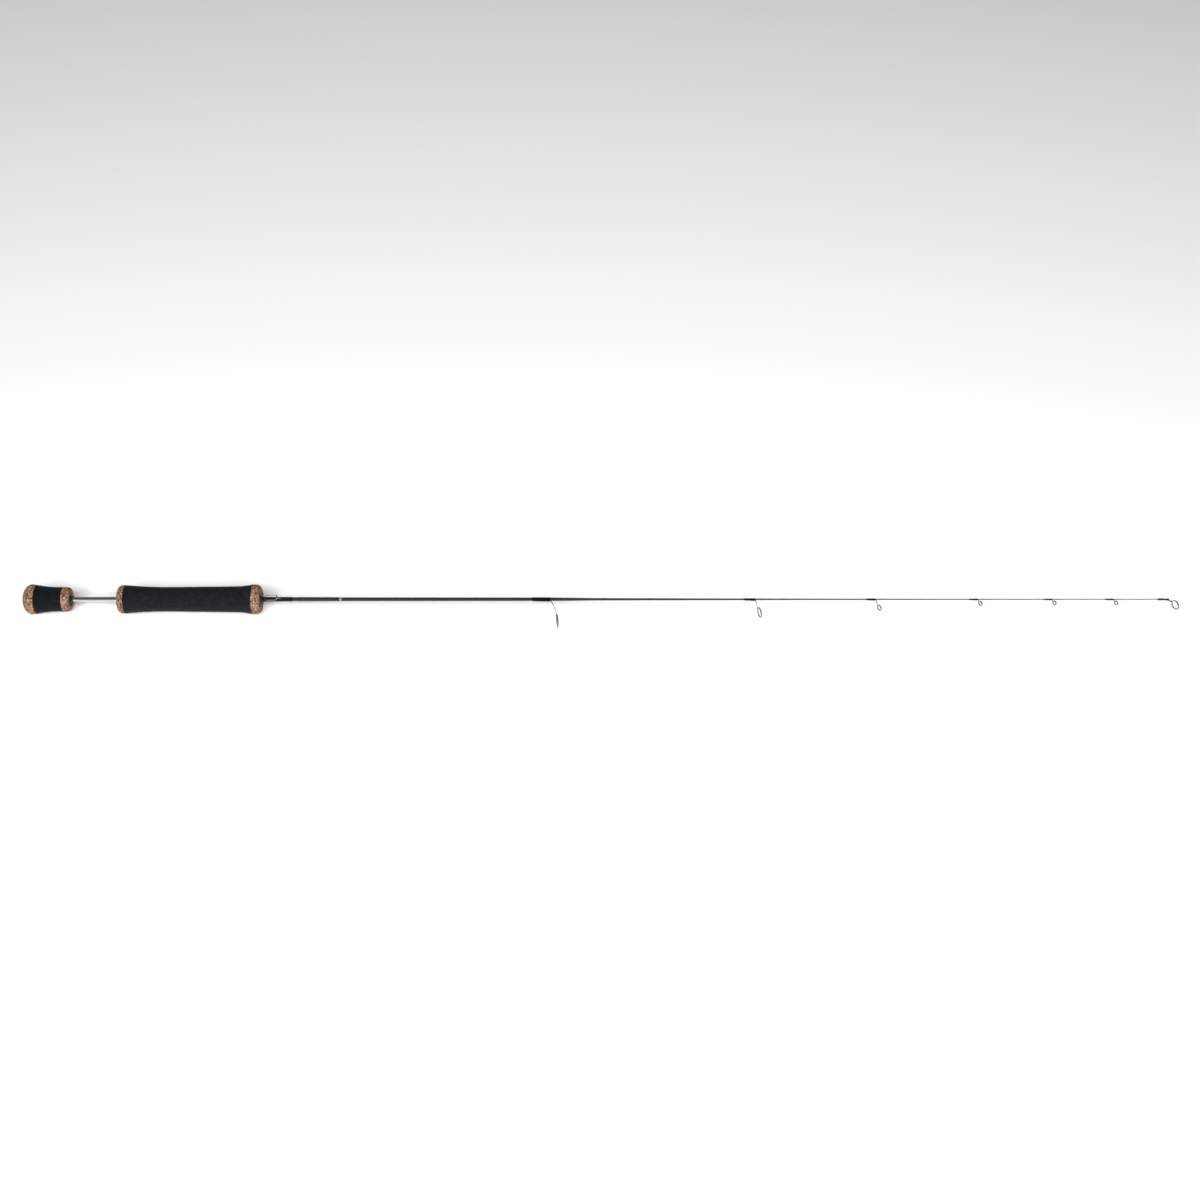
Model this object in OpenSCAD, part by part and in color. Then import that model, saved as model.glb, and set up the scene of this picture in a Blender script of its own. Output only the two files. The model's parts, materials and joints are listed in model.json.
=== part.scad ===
// Ice fishing rod with a split grip, six single-foot guides and a tip-top.
// X runs along the blank from the butt (0) to the tip, Z is up, and the guides stand out along -Y,
// as on a rod laid on its side. All sizes are in millimetres.

/* [Rod] */
// Overall length from the butt end to the front of the tip-top's ring
rod_length = 914.4; // [760:0.1:1300]
// Radial gap left for glue between nested pieces
glue_gap = 0.03; // [0.01:0.01:0.06]

/* [Butt knob] */
// Length of the domed butt cap
cap_len = 10; // [7:0.5:16]
// Axial height of the cap's dome
dome_len = 6.5; // [3:0.5:6.5]
// Largest diameter of the cap
cap_d = 24; // [22:0.5:30]
// Diameter of the flat at the very end of the cap
cap_flat_d = 6; // [4:0.5:10]
// Length of the black knob body
knob_len = 21.3; // [14:0.1:40]
// Diameter of the knob where it meets the cap
knob_rear_d = 22.9; // [20:0.1:24]
// Diameter of the knob where it meets its front ring
knob_front_d = 19.45; // [16:0.05:20]
// Length of the knob's cork front ring
knob_ring_len = 5.7; // [4.5:0.1:9]

/* [Handle spine] */
// Diameter of the bare metal rod between the knob and the grip
spine_d = 3.7; // [3:0.1:4.6]
// Length of bare spine between the knob and the grip
spine_gap = 38; // [20:1:80]
// Length of spine, and of blank, held in the joining sleeve
sleeve_hold = 20; // [12:1:30]

/* [Grip] */
// Overall length of the grip with both of its cork rings
grip_len = 113; // [90:1:200]
// Diameter of the grip's rear cork ring
grip_rear_d = 22.6; // [20:0.1:28]
// Length of the grip's rear cork ring
grip_rear_ring_len = 5.4; // [4.5:0.1:9]
// Smallest diameter of the grip, at its waist
grip_waist_d = 19.5; // [16:0.1:20]
// Distance from the rear end of the grip body to the waist
grip_waist_at = 33; // [20:1:40]
// Diameter of the grip where its front flare starts
grip_neck_d = 20.8; // [17:0.1:22]
// Length of the front flare
grip_flare_len = 10; // [5:0.5:16]
// Diameter of the grip's front cork ring
grip_front_d = 23.5; // [22:0.1:30]
// Length of the grip's front cork ring
grip_front_ring_len = 6.3; // [5:0.1:10]
// Thickness of the dark fibre ring behind the front cork ring
fibre_ring_len = 0.9; // [0.5:0.1:2]
// Bore of the foam grip body
grip_bore_d = 6.35; // [6:0.05:8]

/* [Winding checks] */
// Outside diameter of a winding check at its base
check_base_d = 6.8; // [6:0.1:8]
// Outside diameter of a winding check at its nose
check_nose_d = 5.2; // [4.8:0.1:6]
// Length of the knob's winding check
knob_check_len = 3.4; // [2.5:0.1:5]
// Length of the grip's winding check
grip_check_len = 4.6; // [3:0.1:7]

/* [Blank] */
// Diameter of the blank inside the grip
blank_butt_d = 3.4; // [2.8:0.05:4.2]
// Diameter of the blank at the trim band
blank_mid_d = 3.05; // [2.6:0.05:3.3]
// Diameter of the blank where it comes to the first guide
blank_stem_d = 2.75; // [2.2:0.05:3]
// Diameter of the blank just past its ground shoulder
blank_shoulder_d = 2.05; // [1.6:0.05:2.2]
// Diameter that the fine end of the blank thins towards
blank_tip_d = 0.46; // [0.4:0.02:0.7]
// Length of the ground shoulder in front of the first guide
shoulder_len = 24; // [15:1:40]
// How fast the fine end of the blank thins, as the exponent at the tip
taper_rate = 2.25; // [2:0.05:4]

/* [Front of the grip] */
// Length of black thread under the hook keeper's bail
keeper_zone_len = 12.6; // [12:0.2:16]
// Length of the butt wrap that binds the keeper's foot
butt_wrap_len = 10.8; // [9:0.2:16]
// Bare blank between the butt wrap and the clear label coat
label_gap = 3.4; // [1:0.2:10]
// Length of the dark clear-coated label area
label_len = 34; // [20:1:60]
// Thickness of the clear coat over the label area
label_coat_t = 0.14; // [0.1:0.02:0.3]
// Length of the light trim band
trim_len = 1.5; // [1:0.1:4]
// Thickness of thread with its finish
thread_t = 0.2; // [0.15:0.01:0.3]

/* [Hook keeper] */
// Roll of the keeper round the blank, from straight up towards the guides
keeper_roll = 15; // [0:1:45]
// Length of the keeper's bail from its hinge to its closed end
bail_len = 9.4; // [8.5:0.1:9.8]
// Width of the bail, centre to centre of its legs
bail_w = 4.3; // [4.2:0.1:5]
// Diameter of the keeper's wire
keeper_wire_d = 0.54; // [0.5:0.02:0.6]
// Height of the keeper's hinge above the blank's axis
keeper_hinge_h = 2.95; // [2.9:0.05:3.6]
// Outside diameter of the hinge barrel
barrel_d = 1.3; // [1.2:0.05:1.5]
// Length of the hinge barrel
barrel_len = 2.8; // [2.2:0.1:3]
// Radial clearance of the bail's ends in the barrel
hinge_gap = 0.05; // [0.03:0.01:0.08]

/* [Guides, first to sixth] */
// Place of each guide's ring along the free blank: 0 at the trim band, 1 at the tip-top's ring
guide_share = [0.26, 0.501, 0.645, 0.767, 0.856, 0.93]; // [0.15:0.001:0.96]
// Outside diameter of each guide's ring
ring_od = [11.4, 8.7, 5.2, 4.3, 4.1, 4.1]; // [3.8:0.1:14]
// Height of each ring's centre above the blank's axis
ring_height = [23.8, 14.7, 9.5, 4.6, 4.1, 4.1]; // [3.8:0.1:28]
// Forward lean of each ring in degrees
ring_lean = [8.5, 17, 33, 38, 36, 36]; // [5:0.5:42]
// Forward bow of each leg, half way up it
leg_bow = [1.1, 0.2, 0.1, 0, 0, 0]; // [0:0.1:1.5]
// Forward lean of each leg in degrees
leg_lean = [17, 7.5, 5, 3, 3, 3]; // [3:0.5:25]
// Length of the thread wrap over each foot
wrap_len = [14.6, 9.2, 7.4, 7.2, 7, 7]; // [6:0.1:20]
// Thickness of each foot where the leg starts
foot_t = [0.6, 0.7, 0.5, 0.4, 0.35, 0.35]; // [0.25:0.05:0.8]
// Width of each foot and leg
foot_w = [1.1, 0.9, 0.75, 0.65, 0.6, 0.6]; // [0.5:0.05:1.4]
// Thickness of a guide's leg
leg_t = 0.5; // [0.4:0.05:0.8]

/* [Rings] */
// Radial thickness of the steel hoop
hoop_wall = 0.4; // [0.3:0.05:0.6]
// Axial width of the steel hoop
hoop_w = 0.9; // [0.7:0.05:1.3]
// Radial thickness of the hard liner inside the hoop
liner_wall = 0.4; // [0.3:0.05:0.7]
// Axial width of the hard liner
liner_w = 1.1; // [0.9:0.05:1.5]
// Length of the straight wall inside the liner
liner_land = 0.5; // [0.3:0.05:0.7]

/* [Tip-top] */
// Outside diameter of the tip-top's ring
tip_ring_od = 7.9; // [4:0.1:9]
// Height of the tip-top's ring centre above the blank's axis
tip_ring_height = 6.3; // [5.4:0.1:7]
// Forward lean of the tip-top's ring in degrees
tip_ring_lean = 26; // [15:1:40]
// Length of the tip-top's tube
tip_tube_len = 8; // [7.5:0.5:16]
// Outside diameter of the tip-top's tube
tip_tube_d = 1.3; // [1.2:0.05:1.8]
// Length of thread wrapped over the back of the tube
tip_wrap_len = 4; // [3:0.5:8]

/* [Hidden] */
// Facets of a turned piece and of a small round
smooth = 96;
fine = 48;
// Hair gap between pieces that meet end to end
butt_gap = 0.02;
// Steps used to draw a curved profile
curve_steps = 10;

// Stations along X, each worked out from the piece before it
knob_x = cap_len;
knob_ring_x = knob_x + knob_len;
knob_end_x = knob_ring_x + knob_ring_len;
grip_x = knob_end_x + spine_gap;
grip_body_x = grip_x + grip_rear_ring_len;
grip_end_x = grip_x + grip_len;
front_ring_x = grip_end_x - grip_front_ring_len;
fibre_x = front_ring_x - fibre_ring_len;
body_len = fibre_x - grip_body_x;
// Cork left whole behind the end of the spine
spine_x = 4;
// Foam between the rear end of the grip body and the joining sleeve
sleeve_inset = 12;
joint_x = grip_body_x + sleeve_inset + sleeve_hold;
sleeve_x = joint_x - sleeve_hold;
sleeve_end_x = joint_x + sleeve_hold;
// Depth to which each winding check is sunk into its cork ring
knob_sink_depth = 2.2;
grip_sink_depth = 3.4;
// Bare blank between the grip's winding check and the thread
check_gap = 0.18;
check_x = grip_end_x - grip_sink_depth + butt_gap;
keeper_x = check_x + grip_check_len + check_gap;
butt_wrap_x = keeper_x + keeper_zone_len;
label_x = butt_wrap_x + butt_wrap_len + label_gap;
trim_x = label_x + label_len;
free_x = trim_x + trim_len;

// Tip-top: the ring's front edge is the end of the rod
tip_ring_x = rod_length - tip_ring_od / 2 * sin(tip_ring_lean) - liner_w / 2 * cos(tip_ring_lean);
tip_foot_x = tip_ring_x - tip_ring_od / 2 * sin(tip_ring_lean);
tip_foot_h = tip_ring_height - tip_ring_od / 2 * cos(tip_ring_lean);
// The strap comes down to the ring over this length
tip_drop_len = 1.8;
tip_tube_end_x = tip_foot_x - tip_drop_len;
tip_tube_x = tip_tube_end_x - tip_tube_len;
tip_plug = 2;
blank_end_x = tip_tube_end_x - tip_plug;

// Guide stations
free_len = tip_ring_x - free_x;
ring_x = [for (s = guide_share) free_x + s * free_len];
stem_x = ring_x[0];
shoulder_x = stem_x + shoulder_len;

// The blank's radius against X. Past the shoulder it falls off exponentially to the tip.
fine_len = blank_end_x - shoulder_x;
blank_table = concat(
    [[joint_x, blank_butt_d / 2], [label_x, (blank_butt_d * 2 + blank_mid_d) / 6],
     [free_x, blank_mid_d / 2], [stem_x, blank_stem_d / 2]],
    [for (i = [0:curve_steps])
        let (s = i / curve_steps)
        [shoulder_x + s * fine_len,
         (blank_tip_d + (blank_shoulder_d - blank_tip_d) * exp(-taper_rate * s)) / 2]]);
function blank_r(x) = lookup(x, blank_table);

// A quarter ellipse of points from (r0, x0) to (r1, x1), starting along the radius
function round_edge(r0, x0, r1, x1) =
    [for (i = [0:curve_steps])
        let (a = 90 * i / curve_steps)
        [r0 + (r1 - r0) * sin(a), x0 + (x1 - x0) * (1 - cos(a))]];

// Body of revolution about X from [radius, x] points
module turned(points) {
    rotate([0, 90, 0])
        rotate_extrude($fn = smooth)
            polygon(points);
}

// Round rod along X
module rod(x0, x1, r) {
    translate([x0, 0, 0])
        rotate([0, 90, 0])
            cylinder(h = x1 - x0, r = r, $fn = smooth);
}

// Tapered round rod along X
module cone(x0, x1, r0, r1) {
    translate([x0, 0, 0])
        rotate([0, 90, 0])
            cylinder(h = x1 - x0, r1 = r0, r2 = r1, $fn = smooth);
}

// Room for the spine with its glue
module spine_room() {
    rod(spine_x - glue_gap, joint_x, spine_d / 2 + glue_gap);
}

// Blank grown by a gap all over
module blank_shape(gap) {
    last = len(blank_table) - 1;
    turned(concat(
        [[0, joint_x - gap]],
        [for (i = [0:last])
            let (p = blank_table[i])
            [p[1] + gap, p[0] + (i == 0 ? -gap : i == last ? gap : 0)]],
        [[0, blank_end_x + gap]]));
}

// Cork ring with one face rounded over and sunk round the bore: its flat face is at x0 and its
// rounded face is length ahead of it
module cork_ring(x0, length, d, round_r, round_x, sink_d, sink_depth, bore_r) {
    end_x = x0 + length;
    // The sunk bore is wider at its mouth, and narrower at its floor, by this much
    sink_ease = 0.6;
    translate([end_x, 0, 0])
        mirror([1, 0, 0])
            difference() {
                turned(concat([[0, 0]], round_edge(d / 2 - round_r, 0, d / 2, round_x),
                              [[d / 2, length], [0, length]]));
                cone(-1, sink_depth, sink_d / 2 + sink_ease, sink_d / 2 - sink_ease);
                rod(-1, length + 1, bore_r);
            }
}

// ---- Butt knob ----

module butt_cap() {
    cap_r = cap_d / 2;
    color("peru")
        difference() {
            turned(concat([[0, 0]], round_edge(cap_flat_d / 2, 0, cap_r, dome_len),
                          [[knob_rear_d / 2, cap_len - butt_gap], [0, cap_len - butt_gap]]));
            spine_room();
        }
}

module knob_body() {
    // The knob swells towards the cap over this much of its length
    swell_len = knob_len * 0.85;
    grow = knob_rear_d - knob_front_d;
    color("#1e1f23")
        difference() {
            turned(concat(
                [[0, knob_x]],
                [for (i = [0:curve_steps])
                    let (s = i / curve_steps)
                    [(knob_front_d + grow * pow(1 - s, 2)) / 2, knob_x + s * swell_len]],
                [[knob_front_d / 2, knob_ring_x - butt_gap], [0, knob_ring_x - butt_gap]]));
            spine_room();
        }
}

module knob_front_ring() {
    round_r = 2.6;
    round_x = 3;
    sink_d = 10;
    color("peru")
        cork_ring(knob_ring_x, knob_ring_len, knob_front_d, round_r, round_x, sink_d,
                  knob_sink_depth, spine_d / 2 + glue_gap);
}

// Tapered collar that finishes a bore: its base is at x0
module check_collar(x0, length, bore_r) {
    color("#2b2c2e")
        difference() {
            cone(x0, x0 + length, check_base_d / 2, check_nose_d / 2);
            rod(x0 - 1, x0 + length + 1, bore_r);
        }
}

module knob_winding_check() {
    check_collar(knob_end_x - knob_sink_depth + butt_gap, knob_check_len, spine_d / 2 + glue_gap);
}

module handle_spine() {
    color("silver")
        rod(spine_x, joint_x - butt_gap, spine_d / 2);
}

// ---- Grip ----

module grip_rear_ring() {
    round_r = 3;
    round_x = 3.2;
    sink_d = spine_d + 2;
    sink_depth = 0.8;
    translate([grip_body_x + grip_x, 0, 0])
        mirror([1, 0, 0])
            color("peru")
                cork_ring(grip_x + butt_gap, grip_rear_ring_len - butt_gap, grip_rear_d,
                          round_r, round_x, sink_d, sink_depth, spine_d / 2 + glue_gap);
}

// How sharply the grip body curves behind the waist, in front of it and in the flare
waist_power = 2.2;
swell_power = 1.2;
flare_power = 1.35;
flare_u = body_len - grip_flare_len;

// Diameter of the grip body at distance u from its rear end
function grip_d(u) =
    u < grip_waist_at
        ? grip_waist_d + (grip_rear_d - grip_waist_d) * pow(1 - u / grip_waist_at, waist_power)
    : u < flare_u
        ? grip_waist_d + (grip_neck_d - grip_waist_d)
            * pow((u - grip_waist_at) / (flare_u - grip_waist_at), swell_power)
    : grip_neck_d + (grip_front_d - grip_neck_d)
        * pow((u - flare_u) / grip_flare_len, flare_power);

module grip_body() {
    waist_steps = [for (i = [0:curve_steps]) i / curve_steps * grip_waist_at];
    swell_steps = [for (i = [1:6]) grip_waist_at + i / 6 * (flare_u - grip_waist_at)];
    flare_steps = [for (i = [1:6]) flare_u + i / 6 * grip_flare_len];
    color("#1e1f23")
        difference() {
            turned(concat(
                [[0, grip_body_x + butt_gap]],
                [for (u = concat(waist_steps, swell_steps, flare_steps))
                    [grip_d(u) / 2,
                     min(max(grip_body_x + u, grip_body_x + butt_gap), fibre_x - butt_gap)]],
                [[0, fibre_x - butt_gap]]));
            rod(grip_body_x - 1, fibre_x + 1, grip_bore_d / 2);
        }
}

// Short tube that fills the grip's bore
module arbor(x0, x1, bore_r) {
    color("dimgray")
        difference() {
            rod(x0, x1, grip_bore_d / 2 - glue_gap);
            rod(x0 - 1, x1 + 1, bore_r);
        }
}

// The outer end of each arbor stops this far inside the foam
arbor_inset = 0.2;

module rear_arbor() {
    arbor(grip_body_x + arbor_inset, sleeve_x - butt_gap, spine_d / 2 + glue_gap);
}

module spine_sleeve() {
    color("lightgray")
        difference() {
            rod(sleeve_x, sleeve_end_x, grip_bore_d / 2 - glue_gap);
            rod(sleeve_x - 1, joint_x, spine_d / 2 + glue_gap);
            rod(joint_x - 1, sleeve_end_x + 1, blank_butt_d / 2 + glue_gap);
        }
}

module front_arbor() {
    arbor(sleeve_end_x + butt_gap, fibre_x - arbor_inset, blank_butt_d / 2 + glue_gap);
}

module grip_fibre_ring() {
    color("saddlebrown")
        difference() {
            rod(fibre_x, front_ring_x - butt_gap, grip_front_d / 2);
            rod(fibre_x - 1, front_ring_x + 1, blank_butt_d / 2 + glue_gap);
        }
}

module grip_front_ring() {
    round_r = 3.4;
    round_x = 4;
    sink_d = 11;
    color("peru")
        cork_ring(front_ring_x, grip_front_ring_len, grip_front_d, round_r, round_x, sink_d,
                  grip_sink_depth, blank_butt_d / 2 + glue_gap);
}

module grip_winding_check() {
    check_collar(check_x, grip_check_len, blank_butt_d / 2 + glue_gap);
}

// ---- Blank ----

module rod_blank() {
    color("#2f3032")
        blank_shape(0);
}

// Coat round the blank between two stations
module blank_coat(x0, x1, thickness) {
    r0 = blank_r(x0) + thickness;
    r1 = blank_r(x1) + thickness;
    difference() {
        cone(x0, x1, r0, r1);
        blank_shape(glue_gap);
    }
}

module keeper_zone_wrap() {
    color("#15161a")
        blank_coat(keeper_x, butt_wrap_x - butt_gap, thread_t);
}

// The keeper's foot lies on the blank, just in front of the thread under the bail
foot_plate_t = 0.25;
foot_plate_w = 1.2;
keeper_foot_x = butt_wrap_x + 0.5;
// Thickness of the foot at its thin front end
foot_toe_t = 0.1;
// Length of the foot that the post takes up, where no thread crosses it
post_len = 1.2;
keeper_foot_len = 8;
keeper_foot_z = blank_r(butt_wrap_x) + glue_gap;
bulge_r = 0.9;
// Thickness of thread over the keeper's foot
bulge_skin = 0.12;

module butt_wrap() {
    bulge_x = keeper_foot_x + post_len + 0.1;
    slot_w = foot_plate_w + 2 * glue_gap;
    bulge_end = keeper_foot_x + keeper_foot_len + 1;
    bulge_z = keeper_foot_z + foot_plate_t + bulge_skin - bulge_r;
    ease_x = 0.6;
    ease_r = bulge_r - 0.1;
    color("#15161a")
        rotate([keeper_roll, 0, 0])
            difference() {
                union() {
                    blank_coat(butt_wrap_x, butt_wrap_x + butt_wrap_len, thread_t);
                    translate([0, 0, bulge_z])
                        turned([[0, bulge_x], [ease_r, bulge_x], [bulge_r, bulge_x + ease_x],
                                [bulge_r, bulge_end - ease_x], [ease_r, bulge_end],
                                [0, bulge_end]]);
                }
                blank_shape(glue_gap);
                translate([butt_wrap_x - 1, -slot_w / 2, 0])
                    cube([keeper_foot_x - butt_wrap_x + keeper_foot_len + 1 + glue_gap, slot_w,
                          keeper_foot_z + foot_plate_t + glue_gap]);
                translate([butt_wrap_x - 1, -slot_w / 2, 0])
                    cube([bulge_x - butt_wrap_x + 1, slot_w, keeper_hinge_h]);
            }
}

module label_coat() {
    color("#26272a")
        blank_coat(label_x, trim_x - butt_gap, label_coat_t);
}

module trim_band() {
    color("lightgray")
        blank_coat(trim_x, free_x, thread_t);
}

// ---- Hook keeper: a foot with a hinge barrel, and a bail that folds down on the blank ----

// The hinge stands this far behind the butt wrap, over the thread under the bail
hinge_set_back = 1.5;
hinge_x = butt_wrap_x - hinge_set_back;
wire_r = keeper_wire_d / 2;

module keeper_base() {
    post_t = 0.3;
    barrel_r = barrel_d / 2;
    foot_top = keeper_foot_z + foot_plate_t;
    color("silver")
        rotate([keeper_roll, 0, 0])
            difference() {
                union() {
                    // Foot on the blank, with its post leaning back up to the barrel
                    rotate([90, 0, 0])
                        linear_extrude(height = foot_plate_w, center = true)
                            polygon([[keeper_foot_x, keeper_foot_z],
                                     [keeper_foot_x + keeper_foot_len, keeper_foot_z],
                                     [keeper_foot_x + keeper_foot_len, keeper_foot_z + foot_toe_t],
                                     [keeper_foot_x + post_len, foot_top],
                                     [hinge_x + barrel_r * 0.6 + post_t, keeper_hinge_h],
                                     [hinge_x, keeper_hinge_h],
                                     [hinge_x + barrel_r * 0.6, keeper_hinge_h - barrel_r * 0.7]]);
                    translate([hinge_x, 0, keeper_hinge_h])
                        rotate([90, 0, 0])
                            cylinder(h = barrel_len, r = barrel_r, center = true, $fn = fine);
                }
                translate([hinge_x, 0, keeper_hinge_h])
                    rotate([90, 0, 0])
                        cylinder(h = bail_w + 2, r = wire_r + hinge_gap, center = true, $fn = fine);
            }
}

module keeper_bail() {
    half_w = bail_w / 2;
    leg_len = bail_len - half_w;
    // The inner ends of the bail stop this far from the middle of the barrel
    pin_in = 0.3;
    // The closed end comes to rest this far above the thread
    rest_gap = 0.12;
    end_h = blank_r(keeper_x) + thread_t + wire_r + rest_gap;
    drop = asin((keeper_hinge_h - end_h) / bail_len);
    color("silver")
        rotate([keeper_roll, 0, 0])
            translate([hinge_x, 0, keeper_hinge_h])
                rotate([0, -drop, 0])
                    union() {
                        for (side = [-1, 1]) {
                            translate([-leg_len, side * half_w, 0])
                                rotate([0, 90, 0])
                                    cylinder(h = leg_len, r = wire_r, $fn = fine);
                            translate([0, side * half_w, 0])
                                sphere(r = wire_r, $fn = fine);
                            translate([0, side * pin_in, 0])
                                rotate([-side * 90, 0, 0])
                                    cylinder(h = half_w - pin_in, r = wire_r, $fn = fine);
                        }
                        translate([-leg_len, 0, 0])
                            rotate([0, 0, 90])
                                rotate_extrude(angle = 180, $fn = smooth)
                                    translate([half_w, 0])
                                        circle(r = wire_r, $fn = fine);
                    }
}

// ---- Guides ----

// Puts its children in a ring's own frame: centre at the ring, axis along the ring's hole
module at_ring(x, height, lean) {
    translate([x, -height, 0])
        rotate([0, 90, lean])
            children();
}

// Steel hoop with a hole for its liner
module hoop_disc(od) {
    cylinder(h = hoop_w, r = od / 2, center = true, $fn = smooth);
}

module liner_seat(od) {
    cylinder(h = liner_w * 4, r = od / 2 - hoop_wall, center = true, $fn = smooth);
}

// Hard liner ring: a straight land inside, eased over at both edges by this share of its wall
liner_ease = 0.6;

module liner(od) {
    outer_r = od / 2 - hoop_wall - glue_gap;
    inner_r = od / 2 - hoop_wall - liner_wall;
    land = liner_land / 2;
    edge = liner_w / 2;
    color("#8f9296")
        rotate_extrude($fn = smooth)
            polygon(concat([[outer_r, -edge], [outer_r, edge]],
                           [for (i = [0:6])
                               let (a = 15 * i)
                               [inner_r + liner_wall * liner_ease * (1 - sin(a)),
                                edge - (edge - land) * (1 - cos(a))]],
                           [for (i = [6:-1:0])
                               let (a = 15 * i)
                               [inner_r + liner_wall * liner_ease * (1 - sin(a)),
                                -edge + (edge - land) * (1 - cos(a))]]));
}

// Height at which a guide's foot sits, from the blank's radius at the back of its wrap
function foot_base(i) = blank_r(ring_x[i] - wrap_len[i]) + glue_gap;
// Where the leg meets the hoop: height, then X
function hoop_h(i) = ring_height[i] - (ring_od[i] - hoop_wall) / 2 * cos(ring_lean[i]);
function hoop_x(i) = ring_x[i] - (ring_od[i] - hoop_wall) / 2 * sin(ring_lean[i]);
// Where the leg leaves the foot
function root_x(i) = hoop_x(i) - (hoop_h(i) - foot_base(i)) * tan(leg_lean[i]);

// Thread behind the back end of a foot, and the foot's thickness there
tail_cover_len = 1.6;
tail_t = 0.12;
function tail_x(i) = root_x(i) - wrap_len[i] + tail_cover_len;

// Centre of a leg at a share of its height, and its outline at half its thickness to one side
leg_steps = 5;
function leg_at(i, s) =
    [root_x(i) + leg_t / 2 + s * (hoop_x(i) - root_x(i) - leg_t / 2) + 4 * s * (1 - s) * leg_bow[i],
     -foot_base(i) - s * (hoop_h(i) - foot_base(i))];
function leg_side(i, side) = [for (k = [0:leg_steps]) leg_at(i, k / leg_steps) + [side * leg_t / 2, 0]];
function backwards(list) = [for (k = [len(list) - 1:-1:0]) list[k]];

// A guide's tapered foot, grown by a gap: with the gap it is the room that its wrap leaves for it
module foot_shape(i, gap, bottom) {
    heel = root_x(i) + leg_t;
    slope = (foot_t[i] - tail_t) / (heel - tail_x(i));
    front = heel + gap * 20;
    top = foot_base(i) + foot_t[i] + gap + slope * (front - heel);
    linear_extrude(height = foot_w[i] + 2 * gap, center = true)
        polygon([[tail_x(i) - gap, -bottom], [front, -bottom], [front, -top],
                 [tail_x(i) - gap, -foot_base(i) - tail_t - gap]]);
}

// One-piece guide frame: tapered foot, leg and hoop
module guide_frame(i) {
    color("silver")
        difference() {
            union() {
                foot_shape(i, 0, foot_base(i));
                linear_extrude(height = foot_w[i], center = true)
                    polygon(concat(leg_side(i, 1), backwards(leg_side(i, -1))));
                at_ring(ring_x[i], ring_height[i], ring_lean[i])
                    hoop_disc(ring_od[i]);
            }
            at_ring(ring_x[i], ring_height[i], ring_lean[i])
                liner_seat(ring_od[i]);
        }
}

module guide_liner(i) {
    at_ring(ring_x[i], ring_height[i], ring_lean[i])
        liner(ring_od[i]);
}

// Thread wrap that binds a foot to the blank, eased at both ends and raised over the foot
module guide_wrap(i) {
    front = root_x(i) - butt_gap * 2.5;
    back = front - wrap_len[i];
    // The finish runs out over this length at the back and at the front
    ease = 1;
    front_ease = 0.25;
    // The raised part starts this far inside the back end
    raise_in = 0.3;
    r0 = blank_r(back) + glue_gap;
    r1 = blank_r(front) + glue_gap;
    // The raised part clears the foot's corners by this much
    skin = 0.13;
    tail_cover = norm([foot_w[i] / 2, tail_t]) + skin;
    cover = norm([foot_w[i] / 2, foot_t[i]]) + skin;
    color("#15161a")
        difference() {
            union() {
                turned([[0, back], [r0 + thread_t * 0.3, back], [r0 + thread_t, back + ease],
                        [r1 + thread_t, front - front_ease], [r1 + thread_t * 0.8, front],
                        [0, front]]);
                translate([0, -foot_base(i), 0])
                    turned([[0, back + raise_in], [tail_t, back + raise_in],
                            [tail_cover, back + raise_in + ease], [cover, front - front_ease],
                            [cover * 0.9, front], [0, front]]);
            }
            blank_shape(glue_gap);
            foot_shape(i, glue_gap, 0);
        }
}

module guide_1_frame() { guide_frame(0); }
module guide_2_frame() { guide_frame(1); }
module guide_3_frame() { guide_frame(2); }
module guide_4_frame() { guide_frame(3); }
module guide_5_frame() { guide_frame(4); }
module guide_6_frame() { guide_frame(5); }

module guide_1_liner() { guide_liner(0); }
module guide_2_liner() { guide_liner(1); }
module guide_3_liner() { guide_liner(2); }
module guide_4_liner() { guide_liner(3); }
module guide_5_liner() { guide_liner(4); }
module guide_6_liner() { guide_liner(5); }

module guide_1_wrap() { guide_wrap(0); }
module guide_2_wrap() { guide_wrap(1); }
module guide_3_wrap() { guide_wrap(2); }
module guide_4_wrap() { guide_wrap(3); }
module guide_5_wrap() { guide_wrap(4); }
module guide_6_wrap() { guide_wrap(5); }

// ---- Tip-top ----

module tip_top_tube() {
    color("silver")
        difference() {
            rod(tip_tube_x, tip_tube_end_x, tip_tube_d / 2);
            blank_shape(glue_gap);
        }
}

// Hoop on a short forked strap that is brazed over the front of the tube
module tip_top_frame() {
    tube_r = tip_tube_d / 2 + glue_gap;
    strap_t = 0.35;
    strap_w = 1.1;
    // The strap runs back over the tube, thins to its tail and sinks this deep into the hoop
    strap_back = 3;
    strap_tail_t = 0.15;
    bend = 0.3;
    sink = 0.15;
    color("silver")
        difference() {
            union() {
                linear_extrude(height = strap_w, center = true)
                    polygon([[tip_tube_end_x - strap_back, -tube_r],
                             [tip_tube_end_x + bend, -tube_r],
                             [tip_foot_x + bend, -tip_foot_h - sink],
                             [tip_foot_x - bend, -tip_foot_h - sink],
                             [tip_tube_end_x - bend * 1.5, -tube_r - strap_t],
                             [tip_tube_end_x - strap_back, -tube_r - strap_tail_t]]);
                at_ring(tip_ring_x, tip_ring_height, tip_ring_lean)
                    hoop_disc(tip_ring_od);
            }
            at_ring(tip_ring_x, tip_ring_height, tip_ring_lean)
                liner_seat(tip_ring_od);
        }
}

module tip_top_liner() {
    at_ring(tip_ring_x, tip_ring_height, tip_ring_lean)
        liner(tip_ring_od);
}

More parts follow.
